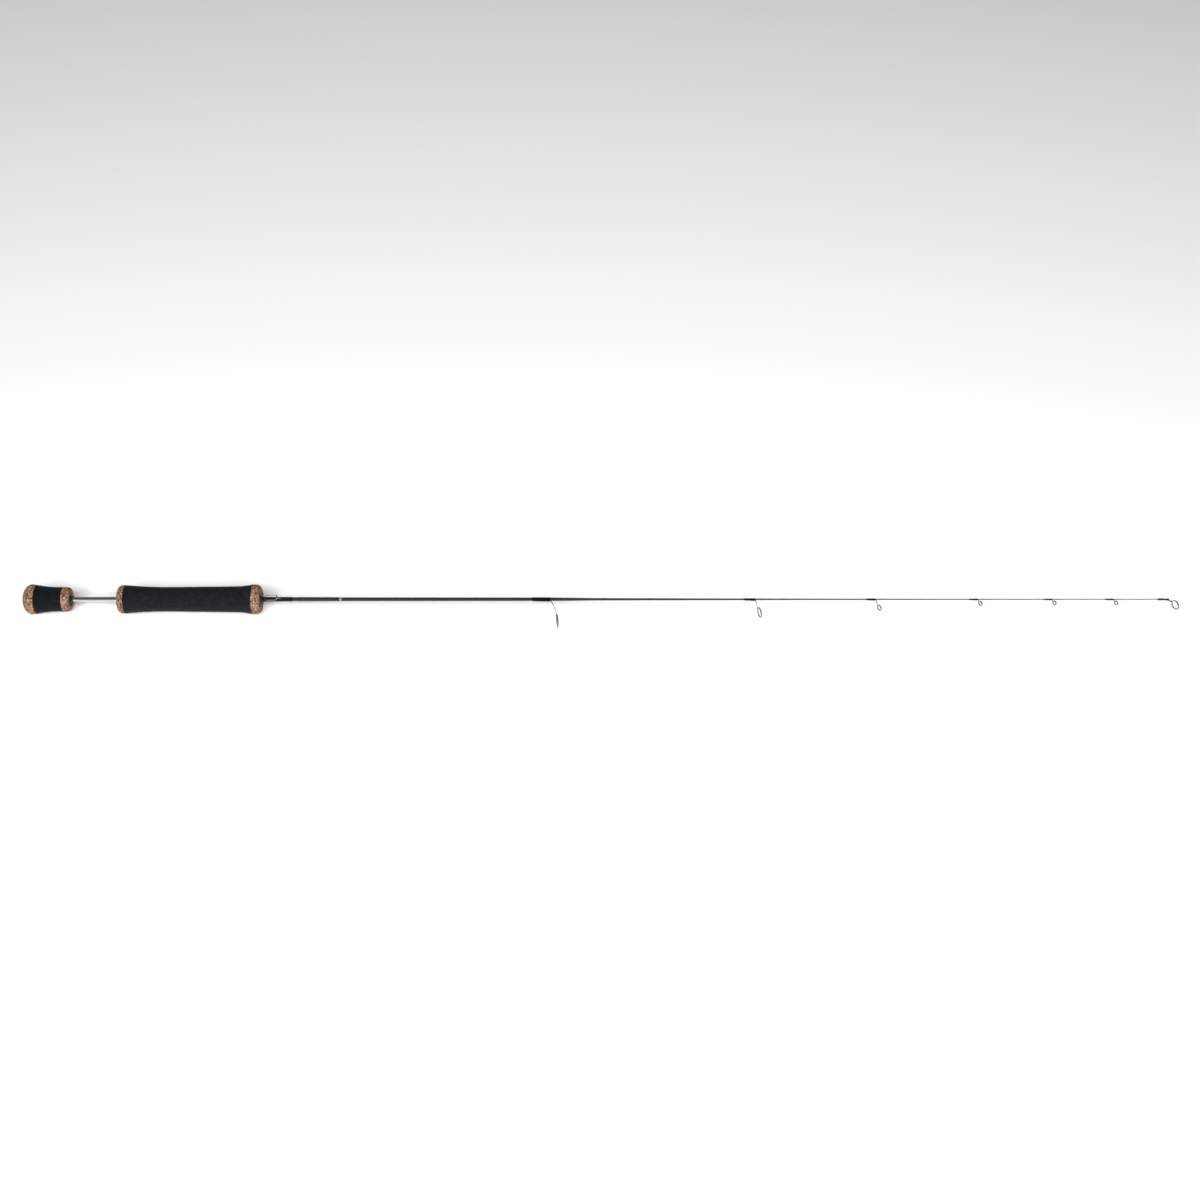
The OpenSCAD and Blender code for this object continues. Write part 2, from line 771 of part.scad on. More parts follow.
module tip_wrap() {
    tube_r = tip_tube_d / 2;
    // The thread runs down onto the blank behind the tube
    run_down = 1.2;
    wrap_t = thread_t * 0.7;
    back = tip_tube_x - run_down;
    front = tip_tube_x + tip_wrap_len;
    color("#15161a")
        difference() {
            turned([[0, back], [blank_r(back) + wrap_t, back], [tube_r + wrap_t, tip_tube_x],
                    [tube_r + wrap_t, front], [0, front]]);
            rod(tip_tube_x - glue_gap, front + 1, tube_r + glue_gap);
            blank_shape(glue_gap);
        }
}

butt_cap();
knob_body();
knob_front_ring();
knob_winding_check();
handle_spine();
grip_rear_ring();
grip_body();
rear_arbor();
spine_sleeve();
front_arbor();
grip_fibre_ring();
grip_front_ring();
grip_winding_check();
rod_blank();
keeper_zone_wrap();
butt_wrap();
label_coat();
trim_band();
keeper_base();
keeper_bail();
guide_1_frame();
guide_2_frame();
guide_3_frame();
guide_4_frame();
guide_5_frame();
guide_6_frame();
guide_1_liner();
guide_2_liner();
guide_3_liner();
guide_4_liner();
guide_5_liner();
guide_6_liner();
guide_1_wrap();
guide_2_wrap();
guide_3_wrap();
guide_4_wrap();
guide_5_wrap();
guide_6_wrap();
tip_top_tube();
tip_top_frame();
tip_top_liner();
tip_wrap();
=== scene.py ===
"""Ice fishing rod: the looks of the rod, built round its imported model.

Sizes in the classes are in millimetres, and meshes are in metres. X runs from the butt to the tip,
Z is up, and the guides stand out along -Y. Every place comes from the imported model's nodes, mounts
and joint.
"""

import json
import logging
import math
from dataclasses import dataclass
from enum import Enum
from typing import Any

import bpy
import numpy as np
from mathutils import Matrix, Vector


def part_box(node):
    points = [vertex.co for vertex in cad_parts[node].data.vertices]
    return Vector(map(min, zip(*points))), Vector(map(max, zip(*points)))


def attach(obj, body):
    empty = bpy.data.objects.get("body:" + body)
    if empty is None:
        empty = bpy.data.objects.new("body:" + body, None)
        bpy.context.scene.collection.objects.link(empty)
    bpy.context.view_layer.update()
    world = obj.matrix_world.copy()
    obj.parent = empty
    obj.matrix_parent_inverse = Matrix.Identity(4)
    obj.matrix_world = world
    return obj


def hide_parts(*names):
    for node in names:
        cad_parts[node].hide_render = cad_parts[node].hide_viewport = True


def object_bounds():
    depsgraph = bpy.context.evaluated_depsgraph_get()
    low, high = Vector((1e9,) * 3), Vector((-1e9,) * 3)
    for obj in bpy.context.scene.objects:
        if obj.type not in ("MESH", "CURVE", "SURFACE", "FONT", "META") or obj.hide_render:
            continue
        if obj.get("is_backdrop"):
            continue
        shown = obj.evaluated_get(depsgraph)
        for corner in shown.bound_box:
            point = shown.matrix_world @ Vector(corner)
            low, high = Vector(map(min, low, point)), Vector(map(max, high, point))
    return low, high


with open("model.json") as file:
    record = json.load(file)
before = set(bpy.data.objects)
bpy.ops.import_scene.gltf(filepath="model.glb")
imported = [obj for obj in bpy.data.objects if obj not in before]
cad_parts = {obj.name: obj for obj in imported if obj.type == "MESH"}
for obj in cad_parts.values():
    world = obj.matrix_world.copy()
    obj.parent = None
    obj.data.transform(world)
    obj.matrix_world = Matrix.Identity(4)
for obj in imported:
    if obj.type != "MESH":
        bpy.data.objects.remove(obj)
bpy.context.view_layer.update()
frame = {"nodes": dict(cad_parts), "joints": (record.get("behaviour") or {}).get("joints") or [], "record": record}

MM = 0.001
LOG = logging.getLogger("ice_rod")
ROD_BODY = "rod"
BAIL_BODY = "keeper_bail"
Tree = bpy.types.NodeTree
Node = bpy.types.Node
Socket = bpy.types.NodeSocket

# Points on each rounded corner of an outline, on each bend of a path and at each of its ends
CORNER_STEPS, BEND_STEPS, END_STEPS = 5, 8, 6
# A corner's curve starts at most this share of a side away from it
SHORT_SIDE = 0.45
# Points round the section of a wire or strap
SECTION_COLUMNS = 20
# Gap between thread or lacquer and what it lies on, and the least thickness of its run-out
HAIR_GAP, THIN_EDGE = 0.01, 0.02


# ---------------------------------------------------------------- surfaces


class Closure(Enum):
    """How the rows of a surface grid are closed."""

    POLES = "the first and last rows each draw in to one point"
    LOOP = "the last row joins the first again"


@dataclass(frozen=True)
class Shell:
    """One closed surface: a grid of points, rows by columns, whose columns always join up."""

    grid: np.ndarray
    closure: Closure

    def outward(self) -> float:
        """Tells which way the grid faces.

        The sum over the surface of position times normal is three times its volume, so it is
        positive when the cross product of the row step and the column step points outwards.

        Returns:
            1.0 where that cross product points outwards, else -1.0.
        """
        points = self.grid
        if self.closure is Closure.LOOP:
            points = np.vstack([points, points[:1]])
        row_step = points[1:] - points[:-1]
        column_step = np.roll(points, -1, axis=1) - points
        normal = np.cross(row_step, 0.5 * (column_step[1:] + column_step[:-1]))
        middle = points.reshape(-1, 3).mean(0)
        centre = 0.5 * (points[1:] + points[:-1]) - middle
        return 1.0 if np.sum(centre * normal) > 0 else -1.0

    def pushed(self, amount: np.ndarray) -> "Shell":
        """Moves each point along the surface's own normal.

        The normal is the cross product of the differences between a point's neighbours along
        its row and along its column, scaled to length one and turned outwards.

        Args:
            amount: distance for each point of the grid, positive outwards.

        Returns:
            The moved shell.
        """
        if self.closure is Closure.LOOP:
            rows = np.roll(self.grid, -1, axis=0) - np.roll(self.grid, 1, axis=0)
        else:
            rows = np.gradient(self.grid, axis=0)
        columns = np.roll(self.grid, -1, axis=1) - np.roll(self.grid, 1, axis=1)
        normal = np.cross(rows, columns) * self.outward()
        length = np.linalg.norm(normal, axis=2, keepdims=True)
        normal = normal / np.maximum(length, 1e-12)
        return Shell(self.grid + normal * amount[..., None], self.closure)

    def faces(self, first: int) -> tuple[np.ndarray, list[list[int]]]:
        """Works out the shell's vertices and faces.

        Point (i, j) of the grid makes a four-sided face with (i, j + 1), (i + 1, j + 1) and
        (i + 1, j), and a pole makes a fan of triangles with the row next to it.

        Args:
            first: index that the shell's first vertex gets in the mesh.

        Returns:
            The vertices in millimetres, and the faces as lists of vertex indices.
        """
        poles = self.closure is Closure.POLES
        body = self.grid[1:-1] if poles else self.grid
        rows, columns = body.shape[:2]
        index = first + np.arange(rows * columns).reshape(rows, columns)
        across = np.roll(index, -1, axis=1)
        if poles:
            quads = np.stack([index[:-1], index[1:], across[1:], across[:-1]], axis=-1)
        else:
            down, down_across = np.roll(index, -1, axis=0), np.roll(across, -1, axis=0)
            quads = np.stack([index, down, down_across, across], axis=-1)
        quads = quads.reshape(-1, 4)
        vertices = body.reshape(-1, 3)
        fans = np.zeros((0, 3), int)
        if poles:
            start = first + len(vertices)
            vertices = np.vstack([vertices, self.grid[0].mean(0), self.grid[-1].mean(0)])
            back = np.full(columns, start)
            front = np.full(columns, start + 1)
            fans = np.vstack([
                np.stack([back, index[0], across[0]], axis=-1),
                np.stack([front, across[-1], index[-1]], axis=-1),
            ])
        if self.outward() < 0:
            quads, fans = quads[:, ::-1], fans[:, ::-1]
        return vertices, quads.tolist() + fans.tolist()


@dataclass(frozen=True)
class Axis:
    """A line to turn a profile about: a point on it, its direction and a direction across it."""

    origin: tuple[float, float, float] = (0.0, 0.0, 0.0)
    along: tuple[float, float, float] = (1.0, 0.0, 0.0)
    side: tuple[float, float, float] = (0.0, 1.0, 0.0)

    def turn(self, stations: np.ndarray, radii: np.ndarray, columns: int) -> np.ndarray:
        """Turns a profile about the axis.

        The point of row i and column j is the origin, plus station i along the axis, plus the
        radius times (cosine of angle j across the axis + sine of angle j square to both).

        Args:
            stations: distance along the axis of each row.
            radii: radius of each row, or of each point as rows by columns.
            columns: number of points round the axis.

        Returns:
            The points as rows by columns by 3.
        """
        angle = turn_angles(columns)
        along, side = np.array(self.along), np.array(self.side)
        third = np.cross(along, side)
        spoke = np.cos(angle)[:, None] * side + np.sin(angle)[:, None] * third
        radius = radii if radii.ndim == 2 else np.repeat(radii[:, None], columns, axis=1)
        base = np.array(self.origin) + stations[:, None] * along
        return base[:, None, :] + radius[..., None] * spoke[None]


ROD_AXIS = Axis()


def turn_angles(columns: int) -> np.ndarray:
    """Gives evenly spaced angles round a full turn, in radians."""
    return np.arange(columns) * (2 * math.pi / columns)


def quarter(share: np.ndarray) -> np.ndarray:
    """Rises from 0 to 1 on a quarter circle: root(1 - (1 - share)^2)."""
    return np.sqrt(np.clip(1 - (1 - share) ** 2, 0, 1))


def part_way(x: np.ndarray, start: float, length: float) -> np.ndarray:
    """Gives the share of a stretch that lies behind each place: (x - start) / length in 0 to 1."""
    return np.clip((x - start) / length, 0, 1)


def run_along(points: np.ndarray) -> np.ndarray:
    """Gives the distance walked at each point of a path: the sum of its steps so far."""
    return np.concatenate([[0], np.cumsum(np.linalg.norm(np.diff(points, axis=0), axis=1))])


def walked_to(points: np.ndarray, run: np.ndarray, marks: np.ndarray) -> np.ndarray:
    """Finds the places on a path by straight lines between its points.

    Args:
        points: the path's points, as rows.
        run: distance walked at each of them.
        marks: distances at which places are wanted.

    Returns:
        The places, as rows.
    """
    return np.stack([np.interp(marks, run, column) for column in points.T], axis=1)


def beside(corner: np.ndarray, neighbour: np.ndarray, reach: float) -> np.ndarray:
    """Finds where a corner's curve meets one of its sides.

    Args:
        corner: the corners, as rows.
        neighbour: the point at the side's other end, for each corner.
        reach: distance from the corner, or less on a short side.

    Returns:
        The places, as rows.
    """
    side = neighbour - corner
    length = np.linalg.norm(side, axis=1, keepdims=True)
    return corner + side / length * np.minimum(reach, length * SHORT_SIDE)


def curved(start: np.ndarray, corner: np.ndarray, end: np.ndarray, steps: int) -> np.ndarray:
    """Bends corners on the curve (1 - t)^2 start + 2 t (1 - t) corner + t^2 end.

    Args:
        start: where each curve starts, as rows.
        corner: the corner that each one rounds.
        end: where each one ends.
        steps: number of points on each curve.

    Returns:
        The points, as corners by steps by coordinates.
    """
    t = np.linspace(0, 1, steps)[None, :, None]
    return (1 - t) ** 2 * start[:, None] + 2 * t * (1 - t) * corner[:, None] + t**2 * end[:, None]


def rounded(points: list[tuple[float, float]], radius: float, closed: bool) -> np.ndarray:
    """Rounds the corners of a flat outline.

    Each corner is replaced by the curve between two points on its sides, the radius away from it
    or less on a short side.

    Args:
        points: the outline's corners.
        radius: distance from a corner at which its rounding starts.
        closed: whether the last corner joins the first.

    Returns:
        The points of the rounded outline, as rows of two.
    """
    corner = np.array(points, float)
    start = beside(corner, np.roll(corner, 1, axis=0), radius)
    end = beside(corner, np.roll(corner, -1, axis=0), radius)
    if not closed:
        start[[0, -1]] = end[[0, -1]] = corner[[0, -1]]
    flat = curved(start, corner, end, CORNER_STEPS).reshape(-1, 2)
    step = np.linalg.norm(np.diff(flat, axis=0), axis=1)
    return flat[np.concatenate([[True], step > 1e-6])]


def refined(outline: np.ndarray, step: float, closed: bool = False) -> np.ndarray:
    """Adds points to an outline so that no two neighbours are much more than a step apart.

    The points lie on the outline at the distances of its own points, and at every whole step.

    Args:
        outline: points as rows of two or three.
        step: wanted distance between neighbours.
        closed: whether the last point joins the first.

    Returns:
        The finer outline, without the first point repeated.
    """
    points = np.vstack([outline, outline[:1]]) if closed else outline
    run = run_along(points)
    marks = np.concatenate([run, np.arange(0, run[-1], step)])
    marks = np.unique(np.round(marks, 6))
    gaps = np.concatenate([[True], np.diff(marks) > 1e-5])
    fine = walked_to(points, run, marks[gaps])
    return fine[:-1] if closed else fine


def lathe(
    outline: list[tuple[float, float]] | np.ndarray,
    closure: Closure,
    columns: int = 96,
    step: float = 1.0,
    corner: float = 0.15,
    axis: Axis = ROD_AXIS,
) -> Shell:
    """Turns an outline of (distance along the axis, radius) points, with its corners rounded.

    Args:
        outline: the outline's corners.
        closure: POLES for an outline that starts and ends on the axis, LOOP for a ring's section.
        columns: number of points round the axis.
        step: largest distance between rows.
        corner: how far the rounding of each corner reaches.
        axis: the line to turn about.

    Returns:
        The turned shell.
    """
    closed = closure is Closure.LOOP
    fine = refined(rounded(list(map(tuple, outline)), corner, closed), step, closed)
    return Shell(axis.turn(fine[:, 0], fine[:, 1], columns), closure)


def carried(
    path: np.ndarray, flat: np.ndarray, wide: np.ndarray, thick: np.ndarray, power: float = 2.0
) -> Shell:
    """Carries a rounded section along a path that lies in one plane.

    Row i stands square to the path. Its point at angle a is the path's point, plus the half
    width times sine(a) along the plane's normal, plus the half thickness times cosine(a) along
    the direction square to the path, with both terms raised to 2 / power to square the section.
    Both ends draw in to a point on a quarter circle.

    Args:
        path: points as rows of three.
        flat: the plane's unit normal.
        wide: full width of the section at each point, along the normal.
        thick: full thickness of the section at each point, in the plane.
        power: 2 for an ellipse, more for a squarer section.

    Returns:
        The shell, closed with poles.
    """
    run = run_along(path)
    reach = 0.5 * np.minimum(wide, thick)
    draw_in = quarter(np.clip(np.minimum(run, run[-1] - run) / reach, 0, 1))
    tangent = np.gradient(path, run, axis=0)
    tangent /= np.linalg.norm(tangent, axis=1, keepdims=True)
    across = np.cross(flat, tangent)
    angle = turn_angles(SECTION_COLUMNS)
    u = np.sign(np.cos(angle)) * np.abs(np.cos(angle)) ** (2 / power)
    v = np.sign(np.sin(angle)) * np.abs(np.sin(angle)) ** (2 / power)
    half_thick = (0.5 * thick * draw_in)[:, None, None]
    half_wide = (0.5 * wide * draw_in)[:, None, None]
    grid = path[:, None] + half_thick * u[None, :, None] * across[:, None]
    return Shell(grid + half_wide * v[None, :, None] * flat, Closure.POLES)


def walked(corners: list[tuple[float, ...]], bend: float, step: float) -> np.ndarray:
    """Makes a path in space from its corners, each bent on a curve that starts a set way off.

    The path is walked in even steps, with closer ones at its two ends.

    Args:
        corners: the path's corners, as points of three.
        bend: distance from a corner at which its curve starts, or less on a short side.
        step: distance between points.

    Returns:
        The path's points as rows of three.
    """
    corner = np.array(corners, float)
    inner = corner[1:-1]
    start, end = beside(inner, corner[:-2], bend), beside(inner, corner[2:], bend)
    curve = curved(start, inner, end, BEND_STEPS)
    rough = np.vstack([corner[:1], curve.reshape(-1, 3), corner[-1:]])
    run = run_along(rough)
    near = 1 - np.cos(np.linspace(0, math.pi / 2, END_STEPS))
    marks = np.concatenate([
        near * step, np.linspace(step, run[-1] - step, max(3, int(run[-1] / step))),
        run[-1] - near * step,
    ])
    return walked_to(rough, run, np.unique(np.round(marks, 6)))


def band(x0: float, x1: float, inside: float, outside: float) -> list[tuple[float, float]]:
    """Gives the four corners of a plain ring's section, from its inside at x0 to that at x1."""
    return [(x0, inside), (x0, outside), (x1, outside), (x1, inside)]


def ridges(x: np.ndarray, start: float, pitch: float, columns: int) -> np.ndarray:
    """Works out the ridges of wound thread: cosine of distance over pitch, less the angle.

    Args:
        x: stations along the rod, one for each row.
        start: station where the winding starts.
        pitch: distance along the rod that one turn takes.
        columns: number of points round the rod.

    Returns:
        A height from -2 in the grooves to 0 on the ridges, rows by columns.
    """
    return np.cos(math.tau * (x[:, None] - start) / pitch - turn_angles(columns)[None, :]) - 1


def larger(a: np.ndarray, b: np.ndarray, fillet: float) -> np.ndarray:
    """Gives the larger of two heights, with a fillet: (a + b + root((a - b)^2 + fillet^2)) / 2."""
    return 0.5 * (a + b + np.sqrt((a - b) ** 2 + fillet**2))


def rolling(shell: Shell, seed: int, length: float, height: float) -> np.ndarray:
    """Works out a gentle unevenness over a surface.

    It is a sum of twelve plane waves in random directions, each a cosine of position over a
    wave length near the one given, scaled so that its largest value is the height.

    Args:
        shell: the surface.
        seed: seed of the random directions.
        length: rough wave length.
        height: largest distance from the surface.

    Returns:
        The distance at each point of the grid, at or below zero.
    """
    rng = np.random.default_rng(seed)
    direction = rng.normal(size=(12, 3))
    direction /= np.linalg.norm(direction, axis=1, keepdims=True)
    waves = 2 * math.pi / (length * rng.uniform(0.6, 1.6, 12))
    phase = rng.uniform(0, 2 * math.pi, 12)
    total = np.cos(shell.grid @ (direction * waves[:, None]).T + phase).sum(axis=2)
    return height * (total - total.max()) / (total.max() - total.min())


def pitted(shell: Shell, seed: int, count: int, size: float, depth: float) -> np.ndarray:
    """Works out small pits over a surface.

    Pit k sits at a random point of the grid, and at distance d from it lies deeper by
    depth_k times e to the power of -(d / size_k)^2. The deepest pit wins at each point.

    Args:
        shell: the surface.
        seed: seed of the random places.
        count: number of pits.
        size: mean radius of a pit.
        depth: greatest depth of a pit.

    Returns:
        The distance at each point of the grid, at or below zero.
    """
    rng = np.random.default_rng(seed)
    points = shell.grid.reshape(-1, 3)
    places = points[rng.integers(0, len(points), count)]
    sizes = size * rng.uniform(0.6, 1.5, count)
    depths = depth * rng.uniform(0.4, 1.0, count)
    square = (
        (points**2).sum(1)[:, None] + (places**2).sum(1)[None] - 2 * points @ places.T
    ).clip(0)
    return -(depths * np.exp(-square / sizes**2)).max(axis=1).reshape(shell.grid.shape[:2])


# Sanded cork: wave length and height of its unevenness, and radius and depth of its pits
CORK_WAVE, CORK_UNEVEN, PIT_R, PIT_DEEP = 3.0, 0.05, 0.3, 0.16


def worn(cork: Shell, wave_seed: int, pit_seed: int, pits: int) -> Shell:
    """Wears a turned piece of cork: first its unevenness, then its pits.

    Args:
        cork: the turned piece.
        wave_seed: seed of the unevenness.
        pit_seed: seed of the pits' places.
        pits: number of pits.

    Returns:
        The worn piece.
    """
    cork = cork.pushed(rolling(cork, wave_seed, CORK_WAVE, CORK_UNEVEN))
    return cork.pushed(pitted(cork, pit_seed, pits, PIT_R, PIT_DEEP))


# ---------------------------------------------------------------- finishes


def linear(code: str) -> tuple[float, float, float, float]:
    """Turns an sRGB hex colour into linear red, green, blue and alpha.

    Args:
        code: six hex digits, with or without a leading #.

    Returns:
        The linear colour.
    """
    digits = code.lstrip("#")
    parts = np.array([int(digits[k : k + 2], 16) for k in (0, 2, 4)]) / 255
    flat = np.where(parts <= 0.04045, parts / 12.92, ((parts + 0.055) / 1.055) ** 2.4)
    return (float(flat[0]), float(flat[1]), float(flat[2]), 1.0)


def plug(tree: Tree, node: Node, inputs: dict[Any, Any]) -> None:
    """Sets a node's inputs to values and links them from other nodes.

    Args:
        tree: the tree that holds the node.
        node: the node.
        inputs: for each input's name or number its value, the socket to link from, or the node
            whose first output to link from.
    """
    for key, value in inputs.items():
        if isinstance(value, Node):
            value = value.outputs[0]
        if isinstance(value, Socket):
            tree.links.new(value, node.inputs[key])
        else:
            node.inputs[key].default_value = value


def add(
    tree: Tree,
    kind: str,
    inputs: dict[Any, Any] | None = None,
    ramp: list[tuple[float, str]] | None = None,
    **settings: Any,
) -> Node:
    """Adds a node with its settings, values and links.

    Args:
        tree: the tree that gets the node.
        kind: the node's type.
        inputs: value or link for each input's name or number, as for plug.
        ramp: stops of a colour ramp as (place, hex colour).
        settings: the node's own properties.

    Returns:
        The new node.
    """
    node = tree.nodes.new(kind)
    for key, value in settings.items():
        setattr(node, key, value)
    plug(tree, node, inputs or {})
    if ramp:
        stops = node.color_ramp.elements
        while len(stops) < len(ramp):
            stops.new(0.5)
        for stop, (place, code) in zip(stops, ramp):
            stop.position = place
            stop.color = linear(code)
    return node


def per_mm(size: float) -> float:
    """Gives a texture's scale for features of a size in millimetres."""
    return 1 / (size * MM)


# A wave texture goes through 20 radians in one unit of its scale, so many turns fit in it
WAVE_TURNS = 20 / math.tau


@dataclass(frozen=True)
class Finish:
    """A surface finish: the name of the real material and the record's slot for it."""

    title: str
    slot: str

    def material(self) -> bpy.types.Material:
        """Gives the finish's material, made at its first use."""
        known = bpy.data.materials.get(self.title)
        if known:
            return known
        material = bpy.data.materials.new(self.title)
        material.use_nodes = True
        tree = material.node_tree
        tree.nodes.clear()
        shader = add(tree, "ShaderNodeBsdfPrincipled")
        add(tree, "ShaderNodeOutputMaterial", {"Surface": shader.outputs["BSDF"]})
        place = add(tree, "ShaderNodeTexCoord").outputs["Object"]
        self.dress(tree, shader, place)
        return material

    def dress(self, tree: Tree, shader: Node, place: Socket) -> None:
        """Sets the shader up for this finish.

        Args:
            tree: the material's nodes.
            shader: its Principled shader.
            place: the Object coordinates.
        """
        raise NotImplementedError


@dataclass(frozen=True)
class BurlCork(Finish):
    """Burl cork: pressed chips of cork and bark, turned and sanded.

    It gives the eye a mosaic of tan and dark brown chips with dark binder between them, and a
    dry, matte face with small pits.
    """

    chip: float = 1.15
    grain: float = 0.3
    wander: float = 0.8

    def dress(self, tree: Tree, shader: Node, place: Socket) -> None:
        """Colours chips by cell, darkens the binder between them and roughens the face."""
        drawn = add(tree, "ShaderNodeMapping", {0: place, 3: (1.5, 1.0, 1.0)})
        wander = add(
            tree, "ShaderNodeTexNoise", {"Vector": place, "Scale": per_mm(self.wander), "Detail": 4}
        )
        bent = add(
            tree, "ShaderNodeVectorMath",
            {0: wander.outputs[1], 1: (MM * 1.3, MM * 1.3, MM * 1.3), 2: drawn},
            operation="MULTIPLY_ADD",
        )
        chips = add(tree, "ShaderNodeTexVoronoi", {"Vector": bent, "Scale": per_mm(self.chip)})
        tone = add(tree, "ShaderNodeSeparateColor", {0: chips.outputs["Color"]})
        colour = add(
            tree, "ShaderNodeValToRGB", {0: tone},
            ramp=[(0.0, "#3b281d"), (0.2, "#634836"), (0.45, "#8a6954"), (0.75, "#a5846e"),
                  (1.0, "#c09f88")],
        )
        edge = add(
            tree, "ShaderNodeTexVoronoi", {"Vector": bent, "Scale": per_mm(self.chip)},
            feature="DISTANCE_TO_EDGE",
        )
        binder = add(
            tree, "ShaderNodeMapRange",
            {"Value": edge.outputs["Distance"], "From Min": -0.02, "From Max": 0.12},
            interpolation_type="SMOOTHSTEP",
        )
        grain = add(
            tree, "ShaderNodeTexNoise",
            {"Vector": place, "Scale": per_mm(self.grain), "Detail": 3, "Roughness": 0.6},
        )
        fleck = add(
            tree, "ShaderNodeMapRange",
            {"Value": grain, "From Min": 0.34, "From Max": 0.52, "To Min": 0.3},
        )
        shade = add(
            tree, "ShaderNodeMath", {0: binder, 1: fleck}, operation="MULTIPLY"
        )
        mixed = add(
            tree, "ShaderNodeMix",
            {0: shade, 6: linear("#281a12"), 7: colour}, data_type="RGBA",
        )
        height = add(
            tree, "ShaderNodeMath", {0: shade, 1: 0.5, 2: grain},
            operation="MULTIPLY_ADD",
        )
        bump = add(
            tree, "ShaderNodeBump",
            {"Height": height, "Strength": 0.55, "Distance": 0.12 * MM},
        )
        plug(tree, shader, {
            "Base Color": mixed.outputs[2], "Normal": bump, "Roughness": 0.82,
            "Specular IOR Level": 0.3,
        })


@dataclass(frozen=True)
class EvaFoam(Finish):
    """Closed-cell EVA foam, ground to shape and sanded.

    It gives the eye a soft black with faint cloudy patches, where some of the cut cells catch
    the light as bluish grey specks.
    """

    dark: str = "#0b0c0e"
    light: str = "#16181b"
    cell: float = 0.6
    cloud: float = 4.0

    def dress(self, tree: Tree, shader: Node, place: Socket) -> None:
        """Mottles the black, adds light specks and gives the face the bite of cut cells."""
        cloud = add(
            tree, "ShaderNodeTexNoise",
            {"Vector": place, "Scale": per_mm(self.cloud), "Detail": 5, "Roughness": 0.7},
        )
        base = add(
            tree, "ShaderNodeValToRGB", {0: cloud},
            ramp=[(0.36, self.dark), (0.66, self.light)],
        )
        cells = add(
            tree, "ShaderNodeTexNoise",
            {"Vector": place, "Scale": per_mm(self.cell), "Detail": 3, "Roughness": 0.6},
        )
        speck = add(
            tree, "ShaderNodeMapRange",
            {"Value": cells, "From Min": 0.52, "From Max": 0.8, "To Max": 0.4},
        )
        mixed = add(
            tree, "ShaderNodeMix",
            {0: speck, 6: base, 7: linear("#454850")}, data_type="RGBA",
        )
        bump = add(
            tree, "ShaderNodeBump",
            {"Height": cells, "Strength": 0.5, "Distance": 0.1 * MM},
        )
        plug(tree, shader, {
            "Base Color": mixed.outputs[2], "Normal": bump, "Roughness": 0.9,
            "Specular IOR Level": 0.15, "Sheen Weight": 0.03,
        })


@dataclass(frozen=True)
class DrawnSteel(Finish):
    """Stainless steel, drawn or bent from wire and polished.

    It gives the eye a bright grey metal whose reflections are drawn out along the rod by the
    finest of lines.
    """

    colour: str = "#a09f9d"
    shade: str = "#737271"
    gloss: float = 0.26
    line: float = 0.25

    def dress(self, tree: Tree, shader: Node, place: Socket) -> None:
        """Draws the roughness and a slight tint out into lines along the rod."""
        drawn = add(tree, "ShaderNodeMapping", {0: place, 3: (0.03, 1.0, 1.0)})
        lines = add(
            tree, "ShaderNodeTexNoise",
            {"Vector": drawn, "Scale": per_mm(self.line), "Detail": 3},
        )
        tint = add(
            tree, "ShaderNodeMapRange", {"Value": lines, "To Min": 0.8, "To Max": 1.0}
        )
        mixed = add(
            tree, "ShaderNodeMix",
            {0: tint, 6: linear(self.shade), 7: linear(self.colour)}, data_type="RGBA",
        )
        rough = add(
            tree, "ShaderNodeMapRange",
            {"Value": lines, "To Min": self.gloss * 0.6, "To Max": self.gloss * 1.4},
        )
        plug(tree, shader, {
            "Base Color": mixed.outputs[2], "Roughness": rough, "Metallic": 1.0,
        })


@dataclass(frozen=True)
class CoatedTube(Finish):
    """Steel with a thin dark brown-black coating, as on a small tip-top's tube.

    It gives the eye a dark, slightly warm metal with soft highlights.
    """

    patch: float = 1.2

    def dress(self, tree: Tree, shader: Node, place: Socket) -> None:
        """Varies the coating between two dark tones."""
        patch = add(
            tree, "ShaderNodeTexNoise", {"Vector": place, "Scale": per_mm(self.patch), "Detail": 4}
        )
        colour = add(
            tree, "ShaderNodeValToRGB", {0: patch},
            ramp=[(0.3, "#241b17"), (0.7, "#3a302b")],
        )
        plug(tree, shader, {"Base Color": colour, "Metallic": 0.6, "Roughness": 0.38})


